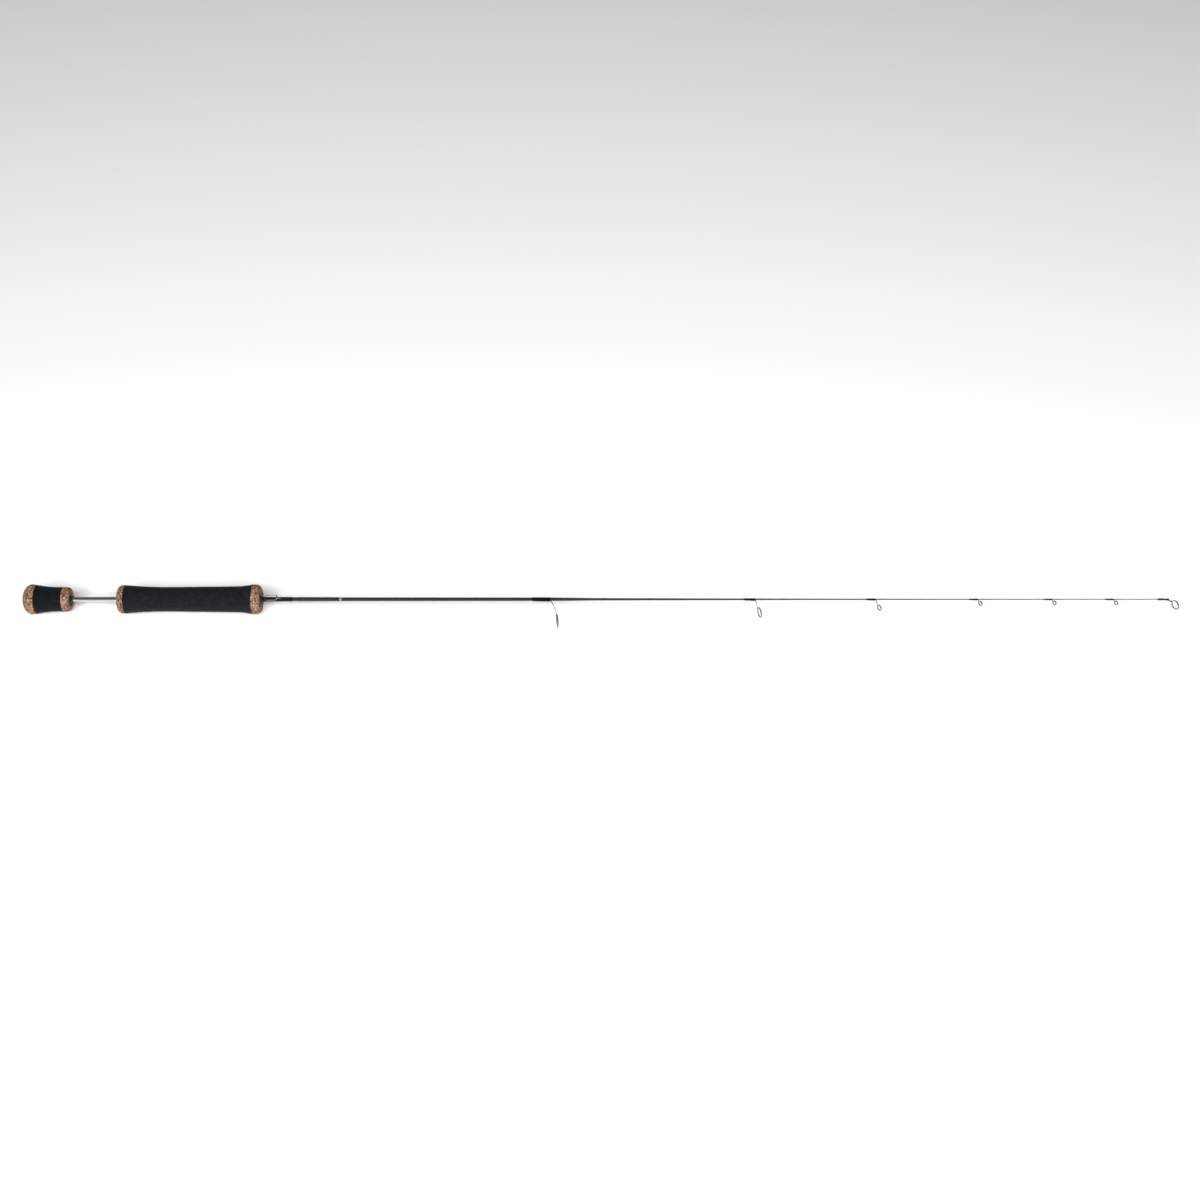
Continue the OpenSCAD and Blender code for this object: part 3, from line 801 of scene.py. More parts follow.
@dataclass(frozen=True)
class CarbonBlank(Finish):
    """Carbon and glass fibre in epoxy, rolled on a mandrel, sanded and clear coated.

    It gives the eye a dark neutral grey with faint slanting bands from the shrink tape, under
    a satin coat.
    """

    dark: str = "#1a1a1b"
    light: str = "#262627"
    band: float = 4.74
    coat: float = 0.2

    def dress(self, tree: Tree, shader: Node, place: Socket) -> None:
        """Bands the grey along the rod, with fibre grain over it."""
        turned = add(tree, "ShaderNodeMapping", {0: place, 2: (0.0, 0.0, math.radians(12))})
        bands = add(
            tree, "ShaderNodeTexWave",
            {"Vector": turned, "Scale": per_mm(self.band * WAVE_TURNS), "Distortion": 1.5,
             "Detail": 2},
            bands_direction="X",
        )
        drawn = add(tree, "ShaderNodeMapping", {0: place, 3: (0.05, 1.0, 1.0)})
        fibre = add(
            tree, "ShaderNodeTexNoise",
            {"Vector": drawn, "Scale": per_mm(0.3), "Detail": 3},
        )
        both = add(
            tree, "ShaderNodeMath", {0: bands.outputs[1], 1: 0.35, 2: fibre},
            operation="MULTIPLY_ADD",
        )
        colour = add(
            tree, "ShaderNodeValToRGB", {0: both},
            ramp=[(0.3, self.dark), (0.9, self.light)],
        )
        bump = add(
            tree, "ShaderNodeBump",
            {"Height": bands.outputs[1], "Strength": 0.2, "Distance": 0.02 * MM},
        )
        plug(tree, shader, {
            "Base Color": colour, "Normal": bump, "Roughness": 0.42,
            "Coat Weight": self.coat, "Coat Roughness": 0.18,
        })


@dataclass(frozen=True)
class BoundThread(Finish):
    """Nylon thread wound tight and soaked in epoxy.

    It gives the eye a deep gloss with the run of the thread round the rod just showing.
    """

    dark: str = "#040405"
    light: str = "#0e0e11"

    def dress(self, tree: Tree, shader: Node, place: Socket) -> None:
        """Streaks the colour round the rod and lays a clear coat over it."""
        # Filaments of a real thread are 0.02 mm wide; they are drawn at 0.1 mm so that they show
        wound = add(tree, "ShaderNodeMapping", {0: place, 3: (1.0, 0.06, 0.06)})
        strand = add(
            tree, "ShaderNodeTexNoise",
            {"Vector": wound, "Scale": per_mm(0.1), "Detail": 3},
        )
        colour = add(
            tree, "ShaderNodeValToRGB", {0: strand},
            ramp=[(0.35, self.dark), (0.7, self.light)],
        )
        plug(tree, shader, {
            "Base Color": colour, "Roughness": 0.5, "Specular IOR Level": 0.2,
            "Coat Weight": 0.2, "Coat Roughness": 0.1,
        })


@dataclass(frozen=True)
class SinteredRing(Finish):
    """Alumina, pressed, sintered and tumbled to a polish.

    It gives the eye a hard mid grey that shines like glazed china.
    """

    grain: float = 0.6

    def dress(self, tree: Tree, shader: Node, place: Socket) -> None:
        """Clouds the grey a little from grain to grain."""
        grain = add(
            tree, "ShaderNodeTexNoise", {"Vector": place, "Scale": per_mm(self.grain), "Detail": 4}
        )
        colour = add(
            tree, "ShaderNodeValToRGB", {0: grain},
            ramp=[(0.3, "#5d5e60"), (0.7, "#727376")],
        )
        plug(tree, shader, {"Base Color": colour, "Roughness": 0.14, "IOR": 1.77})


@dataclass(frozen=True)
class MouldedRubber(Finish):
    """Moulded rubber with a satin skin and a fine matte grain."""

    dark: str = "#141415"
    light: str = "#232426"
    grain: float = 0.4

    def dress(self, tree: Tree, shader: Node, place: Socket) -> None:
        """Grains the black and its surface."""
        grain = add(
            tree, "ShaderNodeTexNoise", {"Vector": place, "Scale": per_mm(self.grain), "Detail": 3}
        )
        colour = add(
            tree, "ShaderNodeValToRGB", {0: grain},
            ramp=[(0.3, self.dark), (0.75, self.light)],
        )
        bump = add(
            tree, "ShaderNodeBump",
            {"Height": grain, "Strength": 0.3, "Distance": 0.04 * MM},
        )
        plug(tree, shader, {
            "Base Color": colour, "Normal": bump, "Roughness": 0.5,
        })


@dataclass(frozen=True)
class FibreRecessShade(Finish):
    """Vulcanised fibre, cut from sheet and sanded with the grip.

    It gives the eye a dark brown edge with fine paper layers across the rod. The dark brown is painted shade: it
    is the colour of the deep shade in the front cork ring's sunk bore.
    """

    def dress(self, tree: Tree, shader: Node, place: Socket) -> None:
        """Layers two dark browns along the rod; both browns are painted shade of the sunk bore."""
        pressed = add(tree, "ShaderNodeMapping", {0: place, 3: (1.0, 0.12, 0.12)})
        layer = add(
            tree, "ShaderNodeTexNoise",
            {"Vector": pressed, "Scale": per_mm(0.25), "Detail": 3},
        )
        # Painted shade: these dark browns are the colour of the deep shade in the sunk bore round the check
        colour = add(
            tree, "ShaderNodeValToRGB", {0: layer},
            ramp=[(0.3, "#1a0f0a"), (0.7, "#33211a")],
        )
        bump = add(
            tree, "ShaderNodeBump",
            {"Height": layer, "Strength": 0.3, "Distance": 0.05 * MM},
        )
        plug(tree, shader, {
            "Base Color": colour, "Normal": bump, "Roughness": 0.68,
        })


@dataclass(frozen=True)
class TurnedTube(Finish):
    """Aluminium or plastic tube turned on a lathe, with fine tool rings round it."""

    dark: str = "#9a9b9d"
    light: str = "#c3c4c6"
    metallic: float = 1.0
    rough: float = 0.35
    ring: float = 0.79

    def dress(self, tree: Tree, shader: Node, place: Socket) -> None:
        """Rings the tone along the tube as a cutting tool leaves it."""
        rings = add(
            tree, "ShaderNodeTexWave",
            {"Vector": place, "Scale": per_mm(self.ring * WAVE_TURNS), "Distortion": 0.6,
             "Detail": 2},
            bands_direction="X",
        )
        colour = add(
            tree, "ShaderNodeValToRGB", {0: rings.outputs[1]},
            ramp=[(0.0, self.dark), (1.0, self.light)],
        )
        plug(tree, shader, {
            "Base Color": colour, "Metallic": self.metallic, "Roughness": self.rough,
        })


@dataclass(frozen=True)
class WhitePaper(Finish):
    """Matte white studio paper.

    It gives the eye an even white with the faintest tooth.
    """

    tooth: float = 1.5

    def dress(self, tree: Tree, shader: Node, place: Socket) -> None:
        """Gives the sheet a faint tooth and no shine."""
        grain = add(tree, "ShaderNodeTexNoise", {"Vector": place, "Scale": per_mm(self.tooth)})
        bump = add(
            tree, "ShaderNodeBump",
            {"Height": grain, "Strength": 0.1, "Distance": 0.02 * MM},
        )
        plug(tree, shader, {
            "Normal": bump, "Base Color": linear("#f7f7f7"), "Roughness": 1.0,
            "Specular IOR Level": 0.0,
        })


CORK = BurlCork("burl cork, turned and sanded", "burl_cork")
GRIP_FOAM = EvaFoam("EVA foam, ground and sanded", "eva_foam")
KNOB_FOAM = EvaFoam("EVA foam, dense, ground and sanded", "eva_foam", "#08080a", "#0f0f11")
SPINE_STEEL = DrawnSteel("stainless steel rod, polished", "spine_steel", "#cfcecb", "#a9a8a5", 0.16)
WIRE_STEEL = DrawnSteel("stainless steel wire, polished", "guide_steel")
# Painted highlight: the guide wires' steel made lighter, so that the keeper's wire and base look brightly lit
BAIL_STEEL_PAINTED_BRIGHT = DrawnSteel("stainless steel wire, bright", "guide_steel", "#d2d1ce", "#acaba8", 0.2)
DARK_STEEL = CoatedTube("steel tube, dark coated", "guide_steel")
BLANK = CarbonBlank("carbon and glass composite, clear coated", "carbon_blank")
LABEL_COAT = CarbonBlank("dark lacquer, clear coated", "dark_coat", "#191919", "#232323", 6.9, 0.5)
THREAD = BoundThread("black nylon thread in epoxy", "black_thread")
TRIM = BoundThread("grey metallic thread in epoxy", "trim_thread", "#7a736c", "#a49c93")
LINER = SinteredRing("alumina, sintered and polished", "hard_liner")
RUBBER = MouldedRubber("moulded rubber", "check_rubber")
# Painted shade: the fibre ring wears the dark brown of the shade deep in the front ring's sunk bore
FIBRE_RECESS_SHADE = FibreRecessShade("vulcanised fibre, sanded", "dark_fibre")
SLEEVE = TurnedTube("turned aluminium", "sleeve_aluminium")
ARBOR = TurnedTube("turned polyurethane foam", "arbor_plastic", "#5f5f5d", "#757572", 0.0, 0.8)
PAPER = WhitePaper("matte white paper", "")


# ---------------------------------------------------------------- placing pieces


def node_points(node: str) -> np.ndarray:
    """Reads a CAD node's vertices.

    Args:
        node: the node's name.

    Returns:
        The vertices in millimetres, as rows of three.
    """
    mesh = frame["nodes"][node].data
    flat = np.zeros(len(mesh.vertices) * 3, np.float32)
    mesh.vertices.foreach_get("co", flat)
    return flat.reshape(-1, 3).astype(float) / MM


@dataclass(frozen=True)
class Extent:
    """A CAD node's box at rest, in millimetres."""

    low: np.ndarray
    high: np.ndarray

    @classmethod
    def of(cls, node: str) -> "Extent":
        """Reads the box of a CAD node by its name."""
        low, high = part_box(node)
        return cls(np.array(low) / MM, np.array(high) / MM)

    @classmethod
    def along(cls, node: str, across: np.ndarray, up: np.ndarray) -> "Extent":
        """Measures a CAD node along the rod and along two directions square to it.

        Args:
            node: the node's name.
            across: direction that stands for Y.
            up: direction that stands for Z.

        Returns:
            The extent, with the node's vertices read along those directions.
        """
        points = node_points(node)
        seen = np.stack([points[:, 0], points @ across, points @ up], axis=1)
        return cls(seen.min(axis=0), seen.max(axis=0))

    @property
    def x0(self) -> float:
        """The end nearest the butt."""
        return float(self.low[0])

    @property
    def x1(self) -> float:
        """The end nearest the tip."""
        return float(self.high[0])

    @property
    def radius(self) -> float:
        """Radius of a piece turned about the rod's axis, or half the width of a guide."""
        return float(self.high[2])


@dataclass(frozen=True)
class RingPlace:
    """Where a guide's ring stands: its centre, its axis and the radius of its bore."""

    centre: np.ndarray
    axis: np.ndarray
    bore: float

    @classmethod
    def of(cls, mount: str) -> "RingPlace":
        """Reads a ring's place from the record's mount of that name."""
        found = next(m for m in frame["record"]["mounts"] if m["name"] == mount)
        return cls(
            np.array(found["pos_m"]) / MM, np.array(found["axis"]), found["dims"]["r_mm"]
        )

    @property
    def inward(self) -> np.ndarray:
        """Direction in the ring's plane that points at the blank."""
        return np.array([self.axis[1], -self.axis[0], 0.0])

    def turning(self) -> Axis:
        """Gives the ring's axis to turn a section about."""
        return Axis(tuple(self.centre), tuple(self.axis), (0.0, 0.0, 1.0))


def make_piece(
    name: str, shells: list[Shell], finish: Finish, *nodes: str, body: str = ROD_BODY
) -> bpy.types.Object:
    """Makes a finished piece from its shells and hangs it on a body of the frame.

    Args:
        name: the piece's name.
        shells: its closed surfaces.
        finish: what it is made of.
        nodes: CAD nodes that it stands for.
        body: CAD body that it moves with.

    Returns:
        The new object.
    """
    vertices: list[np.ndarray] = []
    faces: list[list[int]] = []
    count = 0
    for shell in shells:
        points, sides = shell.faces(count)
        vertices.append(points)
        faces.extend(sides)
        count += len(points)
    mesh = bpy.data.meshes.new(name)
    mesh.from_pydata(np.vstack(vertices) * MM, [], faces)
    mesh.polygons.foreach_set("use_smooth", np.ones(len(faces), bool))
    mesh.materials.append(finish.material())
    mesh.update()
    piece = bpy.data.objects.new(name, mesh)
    bpy.context.scene.collection.objects.link(piece)
    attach(piece, body)
    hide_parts(*nodes)
    LOG.info("%s: %d faces, for %s", name, len(faces), ", ".join(nodes))
    return piece


def dress_node(node: str, finish: Finish) -> None:
    """Gives a CAD node that stays its material.

    Args:
        node: the node's name.
        finish: what it is made of.
    """
    part = frame["nodes"][node]
    part.data.materials.clear()
    part.data.materials.append(finish.material())
    LOG.info("%s: kept, in %s", node, finish.title)


@dataclass(frozen=True)
class Taper:
    """The blank's radius along the rod, read from its CAD node and smoothed."""

    stations: np.ndarray
    radii: np.ndarray
    smooth: float = 5.0

    @classmethod
    def of(cls, node: str) -> "Taper":
        """Reads the largest radius at each station of a turned CAD node.

        Args:
            node: the node's name.

        Returns:
            The taper.
        """
        points = node_points(node)
        radius = np.hypot(points[:, 1], points[:, 2])
        outside = radius > 0.05
        stations, group = np.unique(np.round(points[outside, 0], 2), return_inverse=True)
        largest = np.zeros(len(stations))
        np.maximum.at(largest, group, radius[outside])
        return cls(stations, largest)

    def at(self, x: np.ndarray | float) -> np.ndarray:
        """Gives the radius at stations along the rod.

        It is the mean of the straight-line radius at nine places from a smoothing length
        behind the station to a smoothing length in front of it.

        Args:
            x: the stations.

        Returns:
            The radii.
        """
        near = np.asarray(x, float)[..., None] + np.linspace(-self.smooth, self.smooth, 9)
        return np.interp(near, self.stations, self.radii).mean(axis=-1)


# ---------------------------------------------------------------- cork, foam and checks


class Facing(Enum):
    """Which way the rounded face of a cork ring looks."""

    TIP = 1
    BUTT = -1


@dataclass
class CorkRing:
    """A cork ring whose outer face is rounded over and sunk round its bore."""

    node: str
    facing: Facing
    bore: float
    round_r: float
    round_x: float
    sink_d: float
    sink_depth: float
    seed: int
    sink_ease: float = 0.6
    round_steps: int = 9
    pits: int = 130

    def shell(self) -> Shell:
        """Turns the ring's section and wears its surface.

        The outline runs up the flat face, along the outside, over a quarter ellipse to the
        outer face, down into the sunk bore and back through the bore.

        Returns:
            The ring, with its pits.
        """
        box = Extent.of(self.node)
        way = self.facing.value
        flat_x, face_x = (box.x0, box.x1) if way > 0 else (box.x1, box.x0)
        radius = box.radius
        angle = np.linspace(0, math.pi / 2, self.round_steps)
        shoulder_x = face_x - way * self.round_x * (1 - np.sin(angle))
        shoulder_r = radius - self.round_r * (1 - np.cos(angle))
        over = 1 / (self.sink_depth + 1)
        mouth = self.sink_d / 2 + self.sink_ease - 2 * self.sink_ease * over
        floor_x = face_x - way * self.sink_depth
        outline = [(flat_x, self.bore), (flat_x, radius)]
        outline += list(zip(shoulder_x, shoulder_r))
        outline += [(face_x, mouth), (floor_x, self.sink_d / 2 - self.sink_ease)]
        outline += [(floor_x, self.bore)]
        ring = lathe(outline, Closure.LOOP, columns=144, step=0.28, corner=0.2)
        return worn(ring, self.seed, self.seed, self.pits)


@dataclass
class WindingCheck:
    """A tapered collar that finishes a bore."""

    node: str
    bore: float
    nose_r: float = 2.6
    lip: float = 0.35
    groove_at: float = 0.62
    groove_wide: float = 0.4
    groove_deep: float = 0.12

    def shell(self) -> Shell:
        """Turns the collar: a straight lip at its base, a shallow groove and a rounded nose."""
        box = Extent.of(self.node)
        x0, x1, base = box.x0, box.x1, box.radius
        fall = (base - self.nose_r) / (x1 - x0)
        groove, half = x0 + (x1 - x0) * self.groove_at, self.groove_wide / 2
        at_groove = base - fall * (groove - x0)
        outline = [
            (x0, self.bore), (x0, base), (x0 + self.lip, base - fall * self.lip),
            (groove - half, at_groove + fall * half), (groove, at_groove - self.groove_deep),
            (groove + half, at_groove - fall * half), (x1, self.nose_r), (x1, self.bore),
        ]
        return lathe(outline, Closure.LOOP, columns=72, step=0.4, corner=0.18)


@dataclass
class ButtKnob:
    """The knob at the butt: cork cap, foam body, cork front ring and its winding check."""

    flat_d: float = 6.0
    dome_len: float = 6.5
    dome_steps: int = 14
    front_r: float = 9.725
    swell_share: float = 0.85
    swell_steps: int = 24
    spine_r: float = 1.85
    gap: float = 0.03
    blind_x: float = 4.0
    cap_pits: int = 190

    @property
    def bore(self) -> float:
        """Radius of the bore round the spine."""
        return self.spine_r + self.gap

    def build_cap(self) -> None:
        """Turns the domed cap, with a blind bore for the spine, and wears its surface.

        The dome is a quarter ellipse from the small flat at the butt end out to the cap's
        largest radius.
        """
        box, foam = Extent.of("butt_cap"), Extent.of("knob_body")
        angle = np.linspace(0, math.pi / 2, self.dome_steps)
        flat_r = self.flat_d / 2
        dome_r = flat_r + (box.radius - flat_r) * np.sin(angle)
        dome_x = self.dome_len * (1 - np.cos(angle))
        outline = [(box.x0, 0.0), *zip(dome_x, dome_r), (box.x1, foam.radius)]
        outline += [(box.x1, self.bore), (self.blind_x - self.gap, self.bore)]
        outline += [(self.blind_x - self.gap, 0.0)]
        cap = lathe(outline, Closure.POLES, columns=160, step=0.3, corner=0.2)
        make_piece("butt_cap_cork", [worn(cap, 11, 12, self.cap_pits)], CORK, "butt_cap")

    def build_foam(self) -> None:
        """Turns the foam body, whose radius falls with the square of the way from the cap."""
        box = Extent.of("knob_body")
        way = np.linspace(0, 1, self.swell_steps)
        swell_len = (box.x1 - box.x0) * self.swell_share
        radius = self.front_r + (box.radius - self.front_r) * (1 - way) ** 2
        outline = [(box.x0, self.bore), *zip(box.x0 + way * swell_len, radius)]
        outline += [(box.x1, self.front_r), (box.x1, self.bore)]
        foam = lathe(outline, Closure.LOOP, columns=128, step=0.5, corner=0.25)
        foam = foam.pushed(rolling(foam, seed=21, length=5.0, height=0.06))
        make_piece("knob_foam", [foam], KNOB_FOAM, "knob_body")

    def build_front(self) -> None:
        """Turns the front ring and the winding check that sits in it."""
        ring = CorkRing(
            "knob_front_ring", Facing.TIP, self.bore,
            round_r=2.6, round_x=3.0, sink_d=10.0, sink_depth=2.2, seed=31,
        )
        make_piece("knob_ring_cork", [ring.shell()], CORK, "knob_front_ring")
        check = WindingCheck("knob_winding_check", self.bore)
        make_piece("knob_check", [check.shell()], RUBBER, "knob_winding_check")

    def build(self) -> None:
        """Builds the whole knob."""
        self.build_cap()
        self.build_foam()
        self.build_front()


@dataclass
class HandleSpine:
    """The bright rod that joins the knob to the grip."""

    chamfer: float = 0.3

    def build(self) -> None:
        """Turns the rod with a small chamfer at each end."""
        box = Extent.of("handle_spine")
        section = band(box.x0, box.x1, 0.0, box.radius)
        spine = lathe(section, Closure.POLES, columns=96, step=1.5, corner=self.chamfer)
        make_piece("spine_rod", [spine], SPINE_STEEL, "handle_spine")


@dataclass
class Grip:
    """The main grip: foam body between cork rings, with its fibre ring, check and arbors."""

    waist_r: float = 9.75
    waist_at: float = 33.0
    neck_r: float = 10.4
    flare_len: float = 10.0
    rear_r: float = 11.3
    front_r: float = 11.75
    foam_bore: float = 3.175
    spine_bore: float = 1.88
    blank_bore: float = 1.73
    fall_power: float = 2.2
    rise_power: float = 1.2
    flare_power: float = 1.35
    rows: int = 70

    def radius(self, u: np.ndarray, length: float) -> np.ndarray:
        """Gives the foam's radius along the body.

        It falls to the waist with a power of the way left to it, rises with a power of the way
        to the flare, and then with a power of the way up the flare.

        Args:
            u: distances from the body's rear end.
            length: the body's length.

        Returns:
            The radii.
        """
        flare_at = length - self.flare_len
        fall = part_way(u, self.waist_at, -self.waist_at) ** self.fall_power
        rise = part_way(u, self.waist_at, flare_at - self.waist_at) ** self.rise_power
        flare = part_way(u, flare_at, self.flare_len) ** self.flare_power
        return (
            self.waist_r + (self.rear_r - self.waist_r) * fall
            + (self.neck_r - self.waist_r) * rise + (self.front_r - self.neck_r) * flare
        )

    def build_foam(self) -> None:
        """Turns the foam body with its bore for the arbors."""
        box = Extent.of("grip_body")
        length = box.x1 - box.x0
        u = np.linspace(0, length, self.rows)
        outline = [(box.x0, self.foam_bore), *zip(box.x0 + u, self.radius(u, length))]
        outline += [(box.x1, self.foam_bore)]
        foam = lathe(outline, Closure.LOOP, columns=128, step=1.0, corner=0.3)
        foam = foam.pushed(rolling(foam, seed=41, length=6.0, height=0.08))
        make_piece("grip_foam", [foam], GRIP_FOAM, "grip_body")

    def build_rings(self) -> None:
        """Turns the two cork rings, the fibre ring between and the winding check."""
        rear = CorkRing(
            "grip_rear_ring", Facing.BUTT, self.spine_bore,
            round_r=3.0, round_x=3.2, sink_d=5.7, sink_depth=0.8, seed=51,
        )
        make_piece("grip_rear_cork", [rear.shell()], CORK, "grip_rear_ring")
        front = CorkRing(
            "grip_front_ring", Facing.TIP, self.blank_bore,
            round_r=3.4, round_x=4.0, sink_d=11.0, sink_depth=3.4, seed=61,
        )
        make_piece("grip_front_cork", [front.shell()], CORK, "grip_front_ring")
        # The fibre ring's dark brown is painted shade of the sunk bore
        box = Extent.of("grip_fibre_ring")
        section = band(box.x0, box.x1, self.blank_bore, box.radius)
        fibre = lathe(section, Closure.LOOP, columns=128, step=0.6, corner=0.12)
        make_piece("grip_fibre", [fibre], FIBRE_RECESS_SHADE, "grip_fibre_ring")
        check = WindingCheck("grip_winding_check", self.blank_bore)
        make_piece("grip_check", [check.shell()], RUBBER, "grip_winding_check")

    def build(self) -> None:
        """Builds the grip, and dresses the nodes hidden in its bore."""
        self.build_foam()
        self.build_rings()
        dress_node("rear_arbor", ARBOR)
        dress_node("front_arbor", ARBOR)
        dress_node("spine_sleeve", SLEEVE)


# ---------------------------------------------------------------- blank and thread


@dataclass
class ThreadWrap:
    """Thread wound on the blank, raised over a foot where there is one, under a coat of epoxy.

    foot_turn is the direction in which the foot lies on the blank, as an angle from -Y towards
    Z, and foot_base is the height of the foot's underside above the rod's axis. skin is the
    thread's thickness over the foot, and least its thickness where it meets the foot's tail.
    """

    taper: Taper
    start: float
    end: float
    coat: float = 0.2
    pitch: float = 0.2
    ridge: float = 0.012
    run_out: float = 1.0
    blunt: float = 0.3
    foot_start: float = 0.0
    foot_end: float = 0.0
    foot_base: float = 0.0
    foot_wide: float = 0.0
    foot_tail: float = 0.0
    foot_thick: float = 0.0
    foot_turn: float = 0.0
    foot_ease: float = 1.0
    skin: float = 0.1
    fillet: float = 0.12
    least: float = 0.015
    columns: int = 56

    def foot_reach(self, x: np.ndarray, angle: np.ndarray, grow: float) -> np.ndarray:
        """Gives the distance from the rod's axis to the foot's rounded outline.

        The outline is a circle about the foot's base, as wide as the foot's corners reach. In
        the direction at angle b from the foot it is met at base * cos(b) + root(c^2 - (base *
        sin(b))^2), with c the circle's radius, which grows in a straight line from the tail to
        the thick end and eases in over the first millimetre.

        Args:
            x: stations along the rod, one for each row.
            angle: direction of each column.
            grow: distance to add all round.

        Returns:
            The distance at each point, rows by columns, zero where the foot isn't met.
        """
        way = part_way(x, self.foot_start, self.foot_end - self.foot_start)
        thick = self.foot_tail + (self.foot_thick - self.foot_tail) * way
        corner = np.hypot(self.foot_wide / 2, thick)
        enter = part_way(x, self.foot_start - self.foot_ease, self.foot_ease)
        leave = part_way(x, self.foot_end + self.foot_ease, -self.foot_ease)
        reach = ((corner + grow) * np.sqrt(np.sin(enter * leave * math.pi / 2)))[:, None]
        off = angle[None, :] - self.foot_turn
        side = self.foot_base * np.sin(off)
        meets = (np.cos(off) > 0) & (np.abs(side) < reach)
        depth = np.sqrt(np.clip(reach**2 - side**2, 0, None))
        return np.where(meets, self.foot_base * np.cos(off) + depth, 0.0)

    def shell(self) -> Shell:
        """Winds the thread.

        The outside radius is the blank's plus the coat, joined by a fillet to the foot's
        outline plus a skin. A cosine of the distance along the rod over the thread's pitch,
        less the angle, adds one ridge for each turn of thread. The coat runs out to the blank
        on a quarter ellipse at the back and more bluntly at the front. The inside follows the
        blank and the foot with a hair gap.

        Returns:
            The wrap, as a closed sleeve.
        """
        length = self.end - self.start
        rows = max(8, int(length / (self.pitch / 4)))
        near = 1 - np.cos(np.linspace(0, math.pi / 2, 7))
        x = np.concatenate([
            near * self.pitch, np.linspace(self.pitch, length - self.pitch, rows),
            length - near[::-1] * self.pitch,
        ])
        x = self.start + np.unique(np.round(x, 5))
        angle = turn_angles(self.columns)
        radius = self.taper.at(x)[:, None] + np.zeros(self.columns)
        back, front = part_way(x, self.start, self.run_out), part_way(x, self.end, -self.blunt)
        full = (quarter(back) * quarter(front))[:, None]
        swell = np.maximum(self.coat * full, THIN_EDGE)
        outside = radius + swell
        inside = radius + HAIR_GAP
        if self.foot_wide:
            over = self.foot_reach(x, angle, self.skin) - radius
            raised = larger(swell, over, self.fillet) * full
            outside = radius + np.maximum(raised, THIN_EDGE)
            inside = np.maximum(inside, self.foot_reach(x, angle, HAIR_GAP))
            inside = np.minimum(inside, outside - self.least)
        outside = outside + self.ridge * ridges(x, self.start, self.pitch, self.columns) * full
        outer = ROD_AXIS_DOWN.turn(x, outside, self.columns)
        inner = ROD_AXIS_DOWN.turn(x, inside, self.columns)
        return Shell(np.concatenate([outer, inner[::-1]]), Closure.LOOP)


# The rod's axis with angles counted from -Y, where the guides stand, towards +Z
ROD_AXIS_DOWN = Axis(side=(0.0, -1.0, 0.0))


@dataclass
class Blank:
    """The blank, with its label coat and trim band."""

    taper: Taper
    coat: float = 0.14
    coat_run_out: float = 1.5
    coat_rows: int = 60
    coat_columns: int = 64
    step: float = 6.0

    def build_blank(self) -> None:
        """Turns the blank on its taper, with small flats at its two ends."""
        box = Extent.of("rod_blank")
        x = np.linspace(box.x0, box.x1, int((box.x1 - box.x0) / self.step))
        outline = [(box.x0, 0.0), *zip(x, self.taper.at(x)), (box.x1, 0.0)]
        shell = lathe(outline, Closure.POLES, columns=48, step=self.step, corner=0.1)
        make_piece("carbon_blank", [shell], BLANK, "rod_blank")

    def build_label_coat(self) -> None:
        """Lays the label coat on the blank, run out at its back end."""
        box = Extent.of("label_coat")
        x = np.linspace(box.x0, box.x1, self.coat_rows)
        full = quarter(part_way(x, box.x0, self.coat_run_out))
        outside = self.taper.at(x) + np.maximum(self.coat * full, THIN_EDGE)
        inside = self.taper.at(x) + HAIR_GAP
        grid = np.concatenate([
            ROD_AXIS.turn(x, outside, self.coat_columns),
            ROD_AXIS.turn(x[::-1], inside[::-1], self.coat_columns),
        ])
        make_piece("label_lacquer", [Shell(grid, Closure.LOOP)], LABEL_COAT, "label_coat")

    def build_trim(self) -> None:
        """Winds the trim band."""
        box = Extent.of("trim_band")
        wrap = ThreadWrap(self.taper, box.x0, box.x1, run_out=0.25, blunt=0.25)
        make_piece("trim_thread_band", [wrap.shell()], TRIM, "trim_band")

    def build(self) -> None:
        """Builds the blank and what is on it."""
        self.build_blank()
        self.build_label_coat()
        self.build_trim()


# ---------------------------------------------------------------- hook keeper


